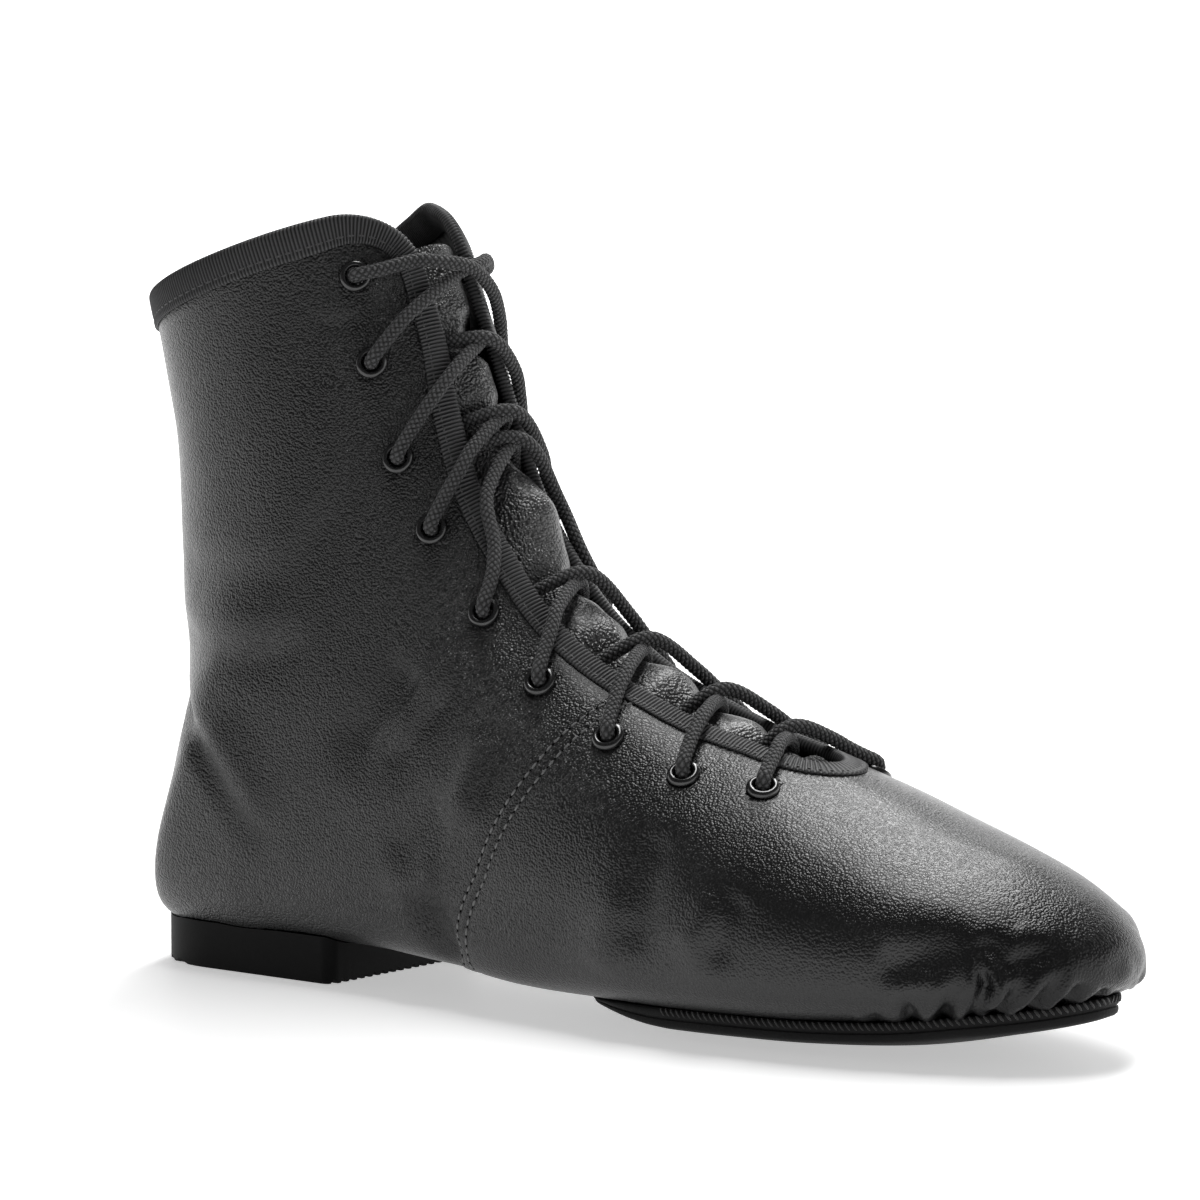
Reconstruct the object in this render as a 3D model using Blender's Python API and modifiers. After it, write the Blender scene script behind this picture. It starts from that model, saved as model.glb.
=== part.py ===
"""Lace-up dance boot for the right foot: black leather upper, split sole.

Metres, +Z up, toe along +X, the wearer's outer side at -Y. The floor is z = 0 and the origin is
on it, below the middle of the boot. Sizes are written in millimetres, with x from the back of
the heel, and are moved to the frame as each mesh is made.
"""

import collections
import math

import bmesh
import bpy
from mathutils import Matrix, Vector

MM = 0.001

# Driving dimensions, in millimetres.
MIDDLE_X = 117.0
MIDDLE_Y = -0.4
LEATHER = 1.4
CLEAR = 0.3
SEAM_STEP = 0.5
COLUMNS = 28

TAPE_WIDTH = 6.5
TAPE_INSIDE = 5.5
TAPE_THICK = 0.6
TAPE_CLEAR = 0.45

EYELET_BORE = 2.0
EYELET_BARREL = 2.5
EYELET_HOLE = 2.95
EYELET_FLANGE = 3.9
EYELET_RISE = 0.95
EYELET_LIFT = 0.5
EYELET_SIDES = 10

LACE_RADIUS = 1.5
LACE_SIDES = 6

PAD_BACK = 127.0
PAD_FRONT = 236.5
PAD_THICK = 4.1
HEEL_BACK = 1.0
HEEL_BREAST = 57.0
HEEL_HALF = 25.0
HEEL_RIM = 10.2
OPENING_INSET = 10.0
INSOLE_THICK = 1.6
TONGUE_THICK = 1.6

# Rings of the upper from the toe (row 0) to the collar. Each ring lies in the plane through its
# top point and its under point: near and far are half widths to -Y and +Y, widest is the share of
# the ring's height that is below its widest place, and the powers square off its two halves.
Section = collections.namedtuple(
    "Section", "top_x top_z under_x under_z near far widest top_power under_power"
)
SECTIONS = (
    (240.0, 20.9, 240.0, 17.3, 2.6, 2.6, 0.50, 2.0, 2.0),
    (238.5, 23.7, 238.5, 15.2, 8.5, 8.8, 0.48, 2.0, 2.1),
    (235.0, 26.5, 235.0, 13.2, 14.9, 15.8, 0.44, 2.0, 2.3),
    (228.0, 30.5, 228.0, 11.0, 21.9, 23.4, 0.41, 2.0, 2.5),
    (217.0, 35.6, 217.0, 8.4, 28.4, 30.4, 0.40, 2.0, 2.7),
    (202.0, 41.0, 202.0, 5.9, 34.2, 36.0, 0.38, 2.0, 2.9),
    (184.0, 48.0, 184.0, 4.4, 38.5, 39.4, 0.36, 2.0, 3.0),
    (166.0, 55.3, 166.0, 3.9, 40.7, 40.0, 0.34, 2.0, 3.1),
    (148.0, 62.2, 148.0, 3.8, 40.3, 38.4, 0.33, 2.0, 3.4),
    (131.0, 69.7, 131.0, 4.0, 38.4, 36.0, 0.32, 2.0, 3.8),
    (116.0, 78.5, 112.5, 4.6, 36.0, 33.6, 0.31, 2.0, 4.2),
    (104.0, 88.8, 93.5, 6.2, 33.5, 32.0, 0.30, 2.0, 4.4),
    (95.6, 100.0, 71.0, 7.6, 31.6, 31.0, 0.30, 2.0, 4.6),
    (89.4, 111.0, 47.0, 7.8, 31.4, 31.0, 0.31, 2.0, 4.8),
    (85.0, 121.8, 23.5, 7.4, 31.8, 31.6, 0.33, 2.0, 4.8),
    (81.0, 130.9, 4.6, 9.8, 32.2, 32.2, 0.38, 2.0, 4.0),
    (77.7, 138.4, 0.3, 29.0, 32.0, 32.0, 0.43, 2.0, 2.6),
    (74.3, 145.8, 3.4, 53.2, 30.9, 30.9, 0.46, 2.0, 2.2),
    (71.3, 153.1, 5.8, 81.4, 29.9, 29.9, 0.48, 2.0, 2.2),
    (68.4, 160.5, 1.6, 111.0, 29.8, 29.8, 0.48, 2.0, 2.2),
    (65.5, 166.8, -5.0, 146.0, 31.6, 31.6, 0.48, 2.0, 2.2),
)
COLLAR = len(SECTIONS) - 1
THROAT_END = 6.66

# Half width of the throat's gap along the boot, by station. The last rows round the flap's corner.
HALF_GAP = (
    (6.66, 0.0),
    (6.70, 3.0),
    (6.80, 5.2),
    (7.0, 7.3),
    (7.4, 9.3),
    (8.0, 11.0),
    (9.0, 12.0),
    (10.2, 12.4),
    (11.6, 11.2),
    (13.5, 10.8),
    (15.3, 9.2),
    (16.5, 8.2),
    (18.2, 7.9),
    (19.1, 10.0),
    (19.7, 13.0),
    (20.0, 18.0),
)

# The vamp's back edge: station by angle from the top line, the same on both sides.
SEAM = ((0.0, 8.9), (0.3, 9.05), (0.95, 9.72), (1.5, 10.45), (1.95, 10.75), (2.3, 10.85), (3.2, 10.9))
SEAM_ROW = 10.0
SEAM_SPREAD = 2.8

# Stations of the rings as they are meshed: close at the toe, the throat's end, the seam, the heel's
# corner and the collar.
RINGS = (
    0.0, 0.6, 1.2, 2.0, 3.0, 4.0, 5.0, 5.9, 6.4, 6.66,
    6.70, 6.8, 7.0, 7.4, 8.0, 8.7, 9.4, 10.0, 10.04, 10.6,
    11.2, 11.8, 12.5, 13.2, 14.0, 14.7, 15.2, 15.7, 16.4, 17.3,
    18.2, 19.1, 19.6, 19.86, 20.0,
)

# Eyelets of one side from the collar down: station and angle from the top line.
EYELETS = (
    (18.8, 0.72),
    (17.0, 0.71),
    (14.8, 0.65),
    (13.3, 0.66),
    (11.6, 0.67),
    (10.2, 0.68),
    (8.9, 0.70),
    (7.8, 0.66),
    (6.9, 0.52),
)

# Height of a lace strand above the leather, by its share of the way between two eyelets. Inside
# the throat the strand is placed by gap, its share of the gap's half width. Strands from the outer
# side run under those from the inner side, and both dip below the flap that they reach. The top
# pair stays above both flaps.
Lift = collections.namedtuple("Lift", "share gap under over top_under top_over")
LIFTS = (
    (0.00, None, 3.6, 3.6, 3.7, 3.7),
    (0.15, None, 3.7, 3.8, 3.8, 3.9),
    (0.28, 1.0, 3.2, 4.0, 3.5, 4.3),
    (0.50, 0.0, 0.0, 2.4, 1.9, 4.3),
    (0.64, -0.7, -3.6, -3.6, 2.6, 4.3),
    (0.72, -1.0, -5.1, -5.1, 3.4, 4.1),
    (0.76, -1.15, -5.2, -5.2, 3.7, 4.0),
)

# Pad half width by share of its length from the back.
PAD_OUTLINE = (
    (0.0, 15.0),
    (0.03, 21.5),
    (0.10, 27.5),
    (0.22, 31.5),
    (0.36, 32.5),
    (0.54, 30.5),
    (0.70, 27.0),
    (0.82, 22.5),
    (0.92, 15.0),
    (0.97, 9.0),
    (1.0, 3.0),
)

# Tongue: depth of its face below the leather by angle from the top line.
TONGUE_DEPTH = ((0.0, 3.6), (0.09, 4.4), (0.18, 6.0), (0.26, 7.4), (1.2, 7.4))
TONGUE_FRONT = 5.5
TONGUE_TOP = 19.3
TONGUE_HALF = 0.92


def along(rows, at):
    """The second column of a two-column table at a value of the first."""
    for (low, first), (high, second) in zip(rows, rows[1:]):
        if at <= high:
            share = max(0.0, (at - low) / (high - low))
            return first + (second - first) * share
    return rows[-1][1]


def ramp(value, start, end):
    """A smooth rise from 0 at start to 1 at end."""
    share = min(max((value - start) / (end - start), 0.0), 1.0)
    return share * share * (3 - 2 * share)


def section(station):
    """The ring at a station, on a smooth curve through the rows of the table."""
    at = min(max(int(station), 0), COLLAR - 1)
    t = station - at
    here = SECTIONS[at]
    after = SECTIONS[at + 1]
    before = SECTIONS[max(at - 1, 0)]
    beyond = SECTIONS[min(at + 2, COLLAR)]
    leave = 1.0 if at == 0 else 0.5
    reach = 1.0 if at == COLLAR - 1 else 0.5
    weights = (
        2 * t**3 - 3 * t**2 + 1,
        (t**3 - 2 * t**2 + t) * leave,
        3 * t**2 - 2 * t**3,
        (t**3 - t**2) * reach,
    )
    values = []
    for a, b, c, d in zip(before, here, after, beyond):
        values.append(b * weights[0] + (c - a) * weights[1] + c * weights[2] + (d - b) * weights[3])
    return Section(*values)


def folded(angle):
    """An angle brought to the range from -pi to pi."""
    return (angle + math.pi) % (2 * math.pi) - math.pi


def skin(station, angle):
    """The ring's own surface: angle 0 is the top line, negative angles are the near side."""
    ring = section(station)
    rise = math.cos(angle)
    run = math.sin(angle)
    power = ring.top_power if rise >= 0 else ring.under_power
    radius = (abs(rise) ** power + abs(run) ** power) ** (-1 / power)
    reach = 1 - ring.widest if rise >= 0 else ring.widest
    height = ring.widest + reach * radius * rise
    half = ring.far if run > 0 else ring.near
    return Vector((
        ring.under_x + (ring.top_x - ring.under_x) * height,
        half * radius * run,
        ring.under_z + (ring.top_z - ring.under_z) * height,
    ))


def outward(station, angle):
    """The surface's unit normal, out of the boot."""
    step = 0.02
    ahead = skin(max(station - step, 0.0), angle) - skin(min(station + step, COLLAR), angle)
    around = skin(station, angle + step) - skin(station, angle - step)
    return ahead.cross(around).normalized()


def seam_station(angle):
    return along(SEAM, abs(folded(angle)))


def raised(station, angle):
    """Share of the vamp's overlap: full at its edge, fading towards the toe, throat and sole."""
    ahead = seam_station(angle) - station
    if ahead < -1e-6:
        return 0.0
    side = abs(folded(angle))
    ends = ramp(side, 0.5, 0.8) * (1 - ramp(side, 2.1, 2.45))
    return ends * (1 - ramp(ahead, 0.6, 2.6))


def leather(station, angle, lift=0.0):
    """A point on the leather's outer face, or lifted off it along the normal."""
    height = lift + SEAM_STEP * raised(station, angle)
    return skin(station, angle) + outward(station, angle) * height


def edge_angle(station):
    """Angle of the throat's edge from the top line."""
    if station <= THROAT_END:
        return 0.0
    return math.asin(along(HALF_GAP, station) / section(station).near)


def ring_station(row, angle):
    """A ring bent near the vamp's edge, so that the ring at the seam's row lies along it."""
    away = row - SEAM_ROW
    if abs(away) >= SEAM_SPREAD:
        return row
    weight = math.cos(math.pi / 2 * away / SEAM_SPREAD) ** 2
    return row + (seam_station(angle) - SEAM_ROW) * weight


def grid_place(row, column):
    """Station and angle of a grid point: columns run from the near edge round the sole."""
    edge = edge_angle(ring_station(row, 0.35) if row > THROAT_END else row)
    angle = -(edge + (2 * math.pi - 2 * edge) * column / COLUMNS)
    return ring_station(row, angle), folded(angle) if column < COLUMNS else edge


def underside(x, y):
    """Height of the upper's outer face below the foot, at a place on the floor."""
    low, high = 0.0, 16.0
    for _ in range(40):
        middle = (low + high) / 2
        ring = section(middle)
        half = ring.far if y > 0 else ring.near
        share = min(abs(y) / half, 1.0)
        height = ring.widest * (1 - (1 - share**ring.under_power) ** (1 / ring.under_power))
        if ring.under_x + (ring.top_x - ring.under_x) * height > x:
            low = middle
        else:
            high = middle
    return ring.under_z + (ring.top_z - ring.under_z) * height


def frame_point(point):
    """From the working sizes to the frame, in metres."""
    return Vector(((point[0] - MIDDLE_X) * MM, (point[1] - MIDDLE_Y) * MM, point[2] * MM))


def material(name, colour, roughness, metallic=0.0):
    made = bpy.data.materials.new(name)
    made.use_nodes = True
    shader = made.node_tree.nodes["Principled BSDF"]
    shader.inputs["Base Color"].default_value = (*colour, 1.0)
    shader.inputs["Roughness"].default_value = roughness
    shader.inputs["Metallic"].default_value = metallic
    return made


def add(name, mesh, look, collection=None):
    """A mesh of the bmesh as a named object with its material."""
    data = bpy.data.meshes.new(name)
    bmesh.ops.recalc_face_normals(mesh, faces=mesh.faces)
    mesh.to_mesh(data)
    mesh.free()
    data.shade_smooth()
    data.set_sharp_from_angle(angle=math.radians(40))
    made = bpy.data.objects.new(name, data)
    if look:
        data.materials.append(look)
    (collection or parts).objects.link(made)
    return made


def shaped_grid(across, lengthways, place):
    """A grid whose points are moved by place(u, v), each from 0 to 1."""
    mesh = bmesh.new()
    bmesh.ops.create_grid(mesh, x_segments=across, y_segments=lengthways, size=0.5)
    for vert in mesh.verts:
        vert.co = frame_point(place(vert.co.x + 0.5, vert.co.y + 0.5))
    return mesh


def thicken_to(mesh, floor):
    """Close a grid into a slab: a copy of its faces goes down to floor(x, y, z)."""
    grown = bmesh.ops.extrude_face_region(mesh, geom=mesh.faces[:])
    for item in grown["geom"]:
        if isinstance(item, bmesh.types.BMVert):
            x = item.co.x / MM + MIDDLE_X
            y = item.co.y / MM + MIDDLE_Y
            item.co.z = floor(x, y, item.co.z / MM) * MM


def slab(name, back, front, half, top, under, cells, look):
    """A closed slab with its outline from half(x) and its two faces from top and under."""
    def place(u, v):
        x = back + (front - back) * u
        y = half(x) * (2 * v - 1)
        return x, y, top(x, y)

    mesh = shaped_grid(*cells, place)
    thicken_to(mesh, under)
    return add(name, mesh, look)


def pad_half(x):
    return along(PAD_OUTLINE, (x - PAD_BACK) / (PAD_FRONT - PAD_BACK))


def heel_half(x):
    """Half width of the heel: straight sides and a broad round back."""
    round_end = 24.0
    share = max(0.0, 1 - (x - HEEL_BACK) / round_end)
    return HEEL_HALF * (1 - min(share, 1.0) ** 2.4) ** (1 / 2.4)


def make_upper(look):
    mesh = bmesh.new()
    rows = len(RINGS) - 1
    bmesh.ops.create_grid(mesh, x_segments=rows, y_segments=COLUMNS, size=0.5)
    for vert in mesh.verts:
        row = RINGS[round((vert.co.x + 0.5) * rows)]
        station, angle = grid_place(row, round((vert.co.y + 0.5) * COLUMNS))
        vert.co = frame_point(leather(station, angle))
    bmesh.ops.remove_doubles(mesh, verts=mesh.verts[:], dist=1e-7)
    tip = [edge for edge in mesh.edges if edge.is_boundary and is_tip(edge)]
    bmesh.ops.contextual_create(mesh, geom=tip)
    upper = add("upper", mesh, look)
    wall = upper.modifiers.new("wall", "SOLIDIFY")
    wall.thickness = LEATHER * MM
    wall.offset = -1
    wall.use_even_offset = True
    cut = upper.modifiers.new("openings", "BOOLEAN")
    cut.object = make_cutters()
    cut.operation = "DIFFERENCE"
    return upper


def is_tip(edge):
    front = frame_point((SECTIONS[0][0], 0, 0)).x
    return all(abs(vert.co.x - front) < 1e-6 for vert in edge.verts)


def make_cutters():
    """One cutter for the eyelet holes and for the two openings that the sole pieces close."""
    mesh = bmesh.new()
    for side in (-1, 1):
        for station, angle in EYELETS:
            seat = eyelet_frame(station, side * angle)
            bmesh.ops.create_cone(
                mesh, cap_ends=True, segments=EYELET_SIDES, depth=8 * MM, matrix=seat,
                radius1=EYELET_HOLE * MM, radius2=EYELET_HOLE * MM,
            )
    openings = (
        (PAD_BACK + 12, PAD_FRONT - 16, pad_half, 13.0),
        (HEEL_BACK + 12, HEEL_BREAST - 9, heel_half, 14.0),
    )
    for back, front, half, top in openings:
        prism(mesh, back, front, lambda x: half(x) - OPENING_INSET, top)
    cutter = add("cutter", mesh, None, guides)
    cutter.hide_render = True
    cutter.display_type = "WIRE"
    return cutter


def prism(mesh, back, front, half, top):
    """An upright prism with an oval outline inside half(x), from below the floor."""
    ring = bmesh.ops.create_circle(mesh, cap_ends=True, segments=20, radius=1.0)["verts"]
    for vert in ring:
        x = (back + front) / 2 + (front - back) / 2 * vert.co.x
        vert.co = frame_point((x, half(x) * vert.co.y, -4.0))
    grown = bmesh.ops.extrude_face_region(mesh, geom=list(ring[0].link_faces))
    for item in grown["geom"]:
        if isinstance(item, bmesh.types.BMVert):
            item.co.z = top * MM


def eyelet_frame(station, angle):
    """Where an eyelet sits: its axis is the leather's normal."""
    normal = outward(station, angle)
    turn = normal.to_track_quat("Z", "Y").to_matrix().to_4x4()
    return Matrix.Translation(frame_point(leather(station, angle))) @ turn


def make_eyelets(look):
    """Turned rings: a domed flange outside, and a barrel through the leather."""
    top = EYELET_LIFT + EYELET_RISE
    barrel_end = -(LEATHER + 0.4)
    profile = (
        (EYELET_BORE, top - 0.15),
        ((EYELET_BORE + EYELET_FLANGE) / 2, top),
        (EYELET_FLANGE, EYELET_LIFT),
        (EYELET_BARREL, EYELET_LIFT),
        (EYELET_BARREL, barrel_end),
        (EYELET_BORE, barrel_end),
    )
    for side, word in ((-1, "near"), (1, "far")):
        for number, (station, angle) in enumerate(EYELETS, 1):
            mesh = bmesh.new()
            verts = [mesh.verts.new((radius * MM, 0, height * MM)) for radius, height in profile]
            edges = [mesh.edges.new((a, b)) for a, b in zip(verts, verts[1:] + verts[:1])]
            bmesh.ops.spin(
                mesh, geom=verts + edges, axis=(0, 0, 1), cent=(0, 0, 0),
                angle=2 * math.pi, steps=EYELET_SIDES, use_merge=True,
            )
            eyelet = add(f"eyelet_{word}_{number}", mesh, look)
            eyelet.matrix_world = eyelet_frame(station, side * angle)


def tape_loop():
    """Stations and angles round the bound edge: up the near flap, round the collar and down."""
    rows = [row for row in RINGS if row >= THROAT_END]
    near = [grid_place(row, 0) for row in rows[:-1]]
    collar = [grid_place(rows[-1], column) for column in range(COLUMNS + 1)]
    far = [grid_place(row, COLUMNS) for row in reversed(rows[1:-1])]
    return near + collar + far


def make_binding(look):
    """A tape folded over the edge: its section is set square to the edge all round the loop."""
    under = LEATHER + TAPE_CLEAR
    profile = (
        (TAPE_WIDTH, TAPE_CLEAR + TAPE_THICK),
        (0.0, TAPE_CLEAR + TAPE_THICK),
        (-TAPE_CLEAR - TAPE_THICK, TAPE_CLEAR),
        (-TAPE_CLEAR - TAPE_THICK, -under),
        (0.0, -under - TAPE_THICK),
        (TAPE_INSIDE, -under - TAPE_THICK),
        (TAPE_INSIDE, -under),
        (-TAPE_CLEAR, -under),
        (-TAPE_CLEAR, TAPE_CLEAR),
        (TAPE_WIDTH, TAPE_CLEAR),
    )
    loop = tape_loop()
    mesh = bmesh.new()
    rings = []
    for index, place in enumerate(loop):
        inward = away_from_edge(loop[index - 1], place, loop[(index + 1) % len(loop)])
        points = [tape_point(place, inward, *corner) for corner in profile]
        rings.append([mesh.verts.new(frame_point(point)) for point in points])
    for one, two in zip(rings, rings[1:] + rings[:1]):
        for corner in range(len(profile)):
            following = (corner + 1) % len(profile)
            mesh.faces.new((one[corner], one[following], two[following], two[corner]))
    return add("binding", mesh, look)


def away_from_edge(before, place, after):
    """Unit direction in the leather, square to the edge and away from it."""
    run = leather(*after) - leather(*before)
    return outward(*place).cross(run).normalized()


def tape_point(place, inward, distance, lift):
    """A corner of the tape's section: on the leather's own curve where it lies over it."""
    station, angle = place
    if distance <= 0:
        return leather(station, angle, lift) + inward * distance
    step = 0.02
    low = max(station - step, 0.0)
    high = min(station + step, COLLAR)
    by_station = (skin(high, angle) - skin(low, angle)) / (high - low)
    by_angle = (skin(station, angle + step) - skin(station, angle - step)) / (2 * step)
    aa = by_station.dot(by_station)
    ab = by_station.dot(by_angle)
    bb = by_angle.dot(by_angle)
    target = inward * distance
    ta = target.dot(by_station)
    tb = target.dot(by_angle)
    scale = aa * bb - ab * ab
    return leather(
        station + (ta * bb - tb * ab) / scale,
        angle + (tb * aa - ta * ab) / scale,
        lift,
    )


def make_tongue(look):
    """A leaf below the throat, close under the vamp in front and clear of the lace behind."""
    def place(u, v):
        station = TONGUE_FRONT + (TONGUE_TOP - TONGUE_FRONT) * u
        angle = TONGUE_HALF * (2 * v - 1) * (0.62 + 0.38 * ramp(station, 5.5, 8.0))
        deep = along(TONGUE_DEPTH, abs(angle))
        shallow = LEATHER + CLEAR + 0.2
        depth = shallow + (deep - shallow) * ramp(station, 5.9, 6.5)
        return leather(station, angle, -depth)

    tongue = add("tongue", shaped_grid(14, 8, place), look)
    leaf = tongue.modifiers.new("leaf", "SOLIDIFY")
    leaf.thickness = TONGUE_THICK * MM
    leaf.offset = 1
    return tongue


def make_insole(look):
    """A sock on the upper's inner face, from the toe to the heel."""
    lift = LEATHER + CLEAR + 0.7
    back, front = 9.0, 226.0

    def half(x):
        ends = min((x - back) / 20, (front - x) / 24, 1.0)
        full = min(section_width(x) * 0.69, 28.0)
        return full * (0.35 + 0.65 * math.sin(math.pi / 2 * max(ends, 0.0)))

    return slab(
        "insole", back, front, half,
        lambda x, y: underside(x, y) + lift + INSOLE_THICK,
        lambda x, y, z: z - INSOLE_THICK,
        (16, 6), look,
    )


def section_width(x):
    """Half width of the upper at a place along the foot, the lesser of its two sides."""
    for row, after in zip(SECTIONS, SECTIONS[1:]):
        ahead, behind = Section(*row), Section(*after)
        if behind.under_x <= x <= ahead.under_x:
            share = (ahead.under_x - x) / (ahead.under_x - behind.under_x)
            return min(
                ahead.near + (behind.near - ahead.near) * share,
                ahead.far + (behind.far - ahead.far) * share,
            )
    return Section(*SECTIONS[15]).near


def make_sole(look):
    """The forefoot pad: it follows the upper, flat on the floor below the ball of the foot."""
    slab(
        "forefoot_sole", PAD_BACK, PAD_FRONT, pad_half,
        lambda x, y: underside(x, y) - CLEAR - 0.2,
        lambda x, y, z: max(0.0, z - PAD_THICK),
        (18, 8), look,
    )


def make_heel(look):
    """The heel block: its seat follows the upper, its face is flat on the floor."""
    slab(
        "heel", HEEL_BACK + 0.4, HEEL_BREAST, heel_half,
        lambda x, y: min(underside(x, y) - CLEAR - 0.25, HEEL_RIM),
        lambda x, y, z: 0.0,
        (10, 8), look,
    )


def strand(number, side, column):
    """Points of one strand, from an eyelet to the next one up on the other side."""
    station, angle = EYELETS[number]
    to_station, to_angle = EYELETS[number - 1]
    points = []
    for row in LIFTS:
        lift = Lift(*row)
        at = station + (to_station - station) * lift.share
        turn = angle + (-to_angle - angle) * lift.share
        if lift.gap is not None:
            turn = edge_angle(at) * lift.gap
        points.append(frame_point(leather(at, side * turn, getattr(lift, column))))
    if column.startswith("top"):
        points.append(frame_point(leather(to_station, -side * to_angle, 3.8)))
    return points


def tube(name, points):
    """A closed mesh tube along a line of points."""
    curve = bpy.data.curves.new(name, "CURVE")
    curve.dimensions = "3D"
    curve.bevel_depth = LACE_RADIUS * MM
    curve.bevel_resolution = LACE_SIDES // 2 - 2
    curve.use_fill_caps = True
    spline = curve.splines.new("POLY")
    spline.points.add(len(points) - 1)
    for point, place in zip(spline.points, points):
        point.co = (*place, 1.0)
    guide = bpy.data.objects.new(name, curve)
    guides.objects.link(guide)
    bpy.context.view_layer.update()
    graph = bpy.context.evaluated_depsgraph_get()
    data = bpy.data.meshes.new_from_object(guide.evaluated_get(graph))
    bpy.data.objects.remove(guide)
    mesh = bmesh.new()
    mesh.from_mesh(data)
    bmesh.ops.remove_doubles(mesh, verts=mesh.verts[:], dist=1e-6)
    return mesh


def make_lace(look):
    """Each crossing is two strands joined where they meet."""
    for number in range(1, len(EYELETS)):
        kind = "top_" if number == 1 else ""
        lower = add(f"lace_crossing_{number}", tube("strand", strand(number, -1, kind + "under")), look)
        upper = add(f"over_{number}", tube("strand", strand(number, 1, kind + "over")), None, guides)
        upper.hide_render = True
        upper.display_type = "WIRE"
        join = lower.modifiers.new("join", "BOOLEAN")
        join.object = upper
        join.operation = "UNION"


for old in list(bpy.data.objects):
    bpy.data.objects.remove(old)
parts = bpy.data.collections.new("dance_boot")
guides = bpy.data.collections.new("cutters")
bpy.context.scene.collection.children.link(parts)
bpy.context.scene.collection.children.link(guides)

black_leather = material("black_leather", (0.017, 0.017, 0.019), 0.42)
make_upper(black_leather)
make_tongue(black_leather)
make_binding(material("black_tape", (0.012, 0.012, 0.014), 0.75))
make_insole(material("dark_lining", (0.03, 0.03, 0.032), 0.85))
make_sole(material("black_sole", (0.014, 0.014, 0.015), 0.7))
make_heel(material("black_rubber", (0.011, 0.011, 0.012), 0.72))
make_eyelets(material("black_enamel", (0.01, 0.01, 0.011), 0.22, 0.6))
make_lace(material("black_lace", (0.013, 0.013, 0.015), 0.8))
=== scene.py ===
import math

import bpy
import numpy as np
from mathutils import Matrix, Vector, noise


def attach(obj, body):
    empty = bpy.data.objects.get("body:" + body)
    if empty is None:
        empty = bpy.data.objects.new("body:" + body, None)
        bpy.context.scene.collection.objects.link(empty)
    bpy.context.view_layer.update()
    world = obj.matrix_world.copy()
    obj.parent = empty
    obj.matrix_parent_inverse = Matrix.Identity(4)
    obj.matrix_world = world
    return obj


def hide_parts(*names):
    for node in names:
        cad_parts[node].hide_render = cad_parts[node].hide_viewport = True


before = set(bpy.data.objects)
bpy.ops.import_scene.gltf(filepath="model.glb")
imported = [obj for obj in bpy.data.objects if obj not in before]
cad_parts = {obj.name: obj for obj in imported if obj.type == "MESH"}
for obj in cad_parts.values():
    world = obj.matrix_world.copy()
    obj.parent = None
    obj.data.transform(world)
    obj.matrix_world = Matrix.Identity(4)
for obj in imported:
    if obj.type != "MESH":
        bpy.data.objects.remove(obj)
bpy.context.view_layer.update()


# The studio: a pale lit table in a pale room that is dimmest on the camera's side, one long strip light
# from overhead to well behind the boot, and a long lens low in front of the toe.
CAMERA_PLACE = (0.54334, -0.70653, 0.15804)
CAMERA_PITCH = 4.7146
CAMERA_TURN = 37.85
FOCAL_PIXELS = 4270
PHOTO_PIXELS = 1200
FLOOR_SIDE, FLOOR_FORWARD, FLOOR_GLOW = 3.2, 0.85, 0.46
ROOM_FRONT = (0.17, -0.98, 0.0)
ROOM_DIM, ROOM_GLOW = 0.11, 1.75
STRIP_PLACE, STRIP_SIZE, STRIP_TURN, STRIP_POWER = (-0.62, 1.75, 3.0), (0.95, 4.5), 19.5, 136.0

bpy.ops.object.select_all(action="DESELECT")
for name in ("Cube", "Light", "Camera"):
    if name in bpy.data.objects:
        bpy.data.objects.remove(bpy.data.objects[name])

bpy.ops.object.camera_add(
    location=CAMERA_PLACE, rotation=(math.radians(90 - CAMERA_PITCH), 0, math.radians(CAMERA_TURN))
)
camera = bpy.context.object
camera.data.sensor_width = 36.0
camera.data.lens = 36.0 * FOCAL_PIXELS / PHOTO_PIXELS
camera.data.clip_start = 0.05
bpy.context.scene.camera = camera
bpy.context.scene.view_settings.view_transform = "Standard"


def add_node(tree, kind, links=None, **settings):
    """One shader node: settings are its attributes or input values, links are its inputs' sources."""
    made = tree.nodes.new(kind)
    for key, value in settings.items():
        if hasattr(made, key):
            setattr(made, key, value)
        else:
            made.inputs[key.replace("_", " ")].default_value = value
    for key, source in (links or {}).items():
        tree.links.new(source, made.inputs[key])
    return made


def new_material(name):
    """A material with its shader, and the object coordinates that its patterns are set out in."""
    made = bpy.data.materials.new(name)
    made.use_nodes = True
    tree = made.node_tree
    place = add_node(tree, "ShaderNodeTexCoord")
    return made, tree, tree.nodes["Principled BSDF"], place


def add_noise(tree, place, scale, detail=2.0):
    """A fine random pattern over the object."""
    made = add_node(
        tree, "ShaderNodeTexNoise", {"Vector": place.outputs["Object"]}, Scale=scale, Detail=detail,
    )
    return made.outputs["Fac"]


def add_range(tree, value, low, high, start=0.0, end=1.0):
    """A pattern's values from start to end brought to the range from low to high."""
    made = add_node(
        tree, "ShaderNodeMapRange", {"Value": value}, From_Min=start, From_Max=end, To_Min=low, To_Max=high,
    )
    return made.outputs["Result"]


def set_shader(shader, **values):
    for key, value in values.items():
        shader.inputs[key.replace("_", " ")].default_value = value


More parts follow.
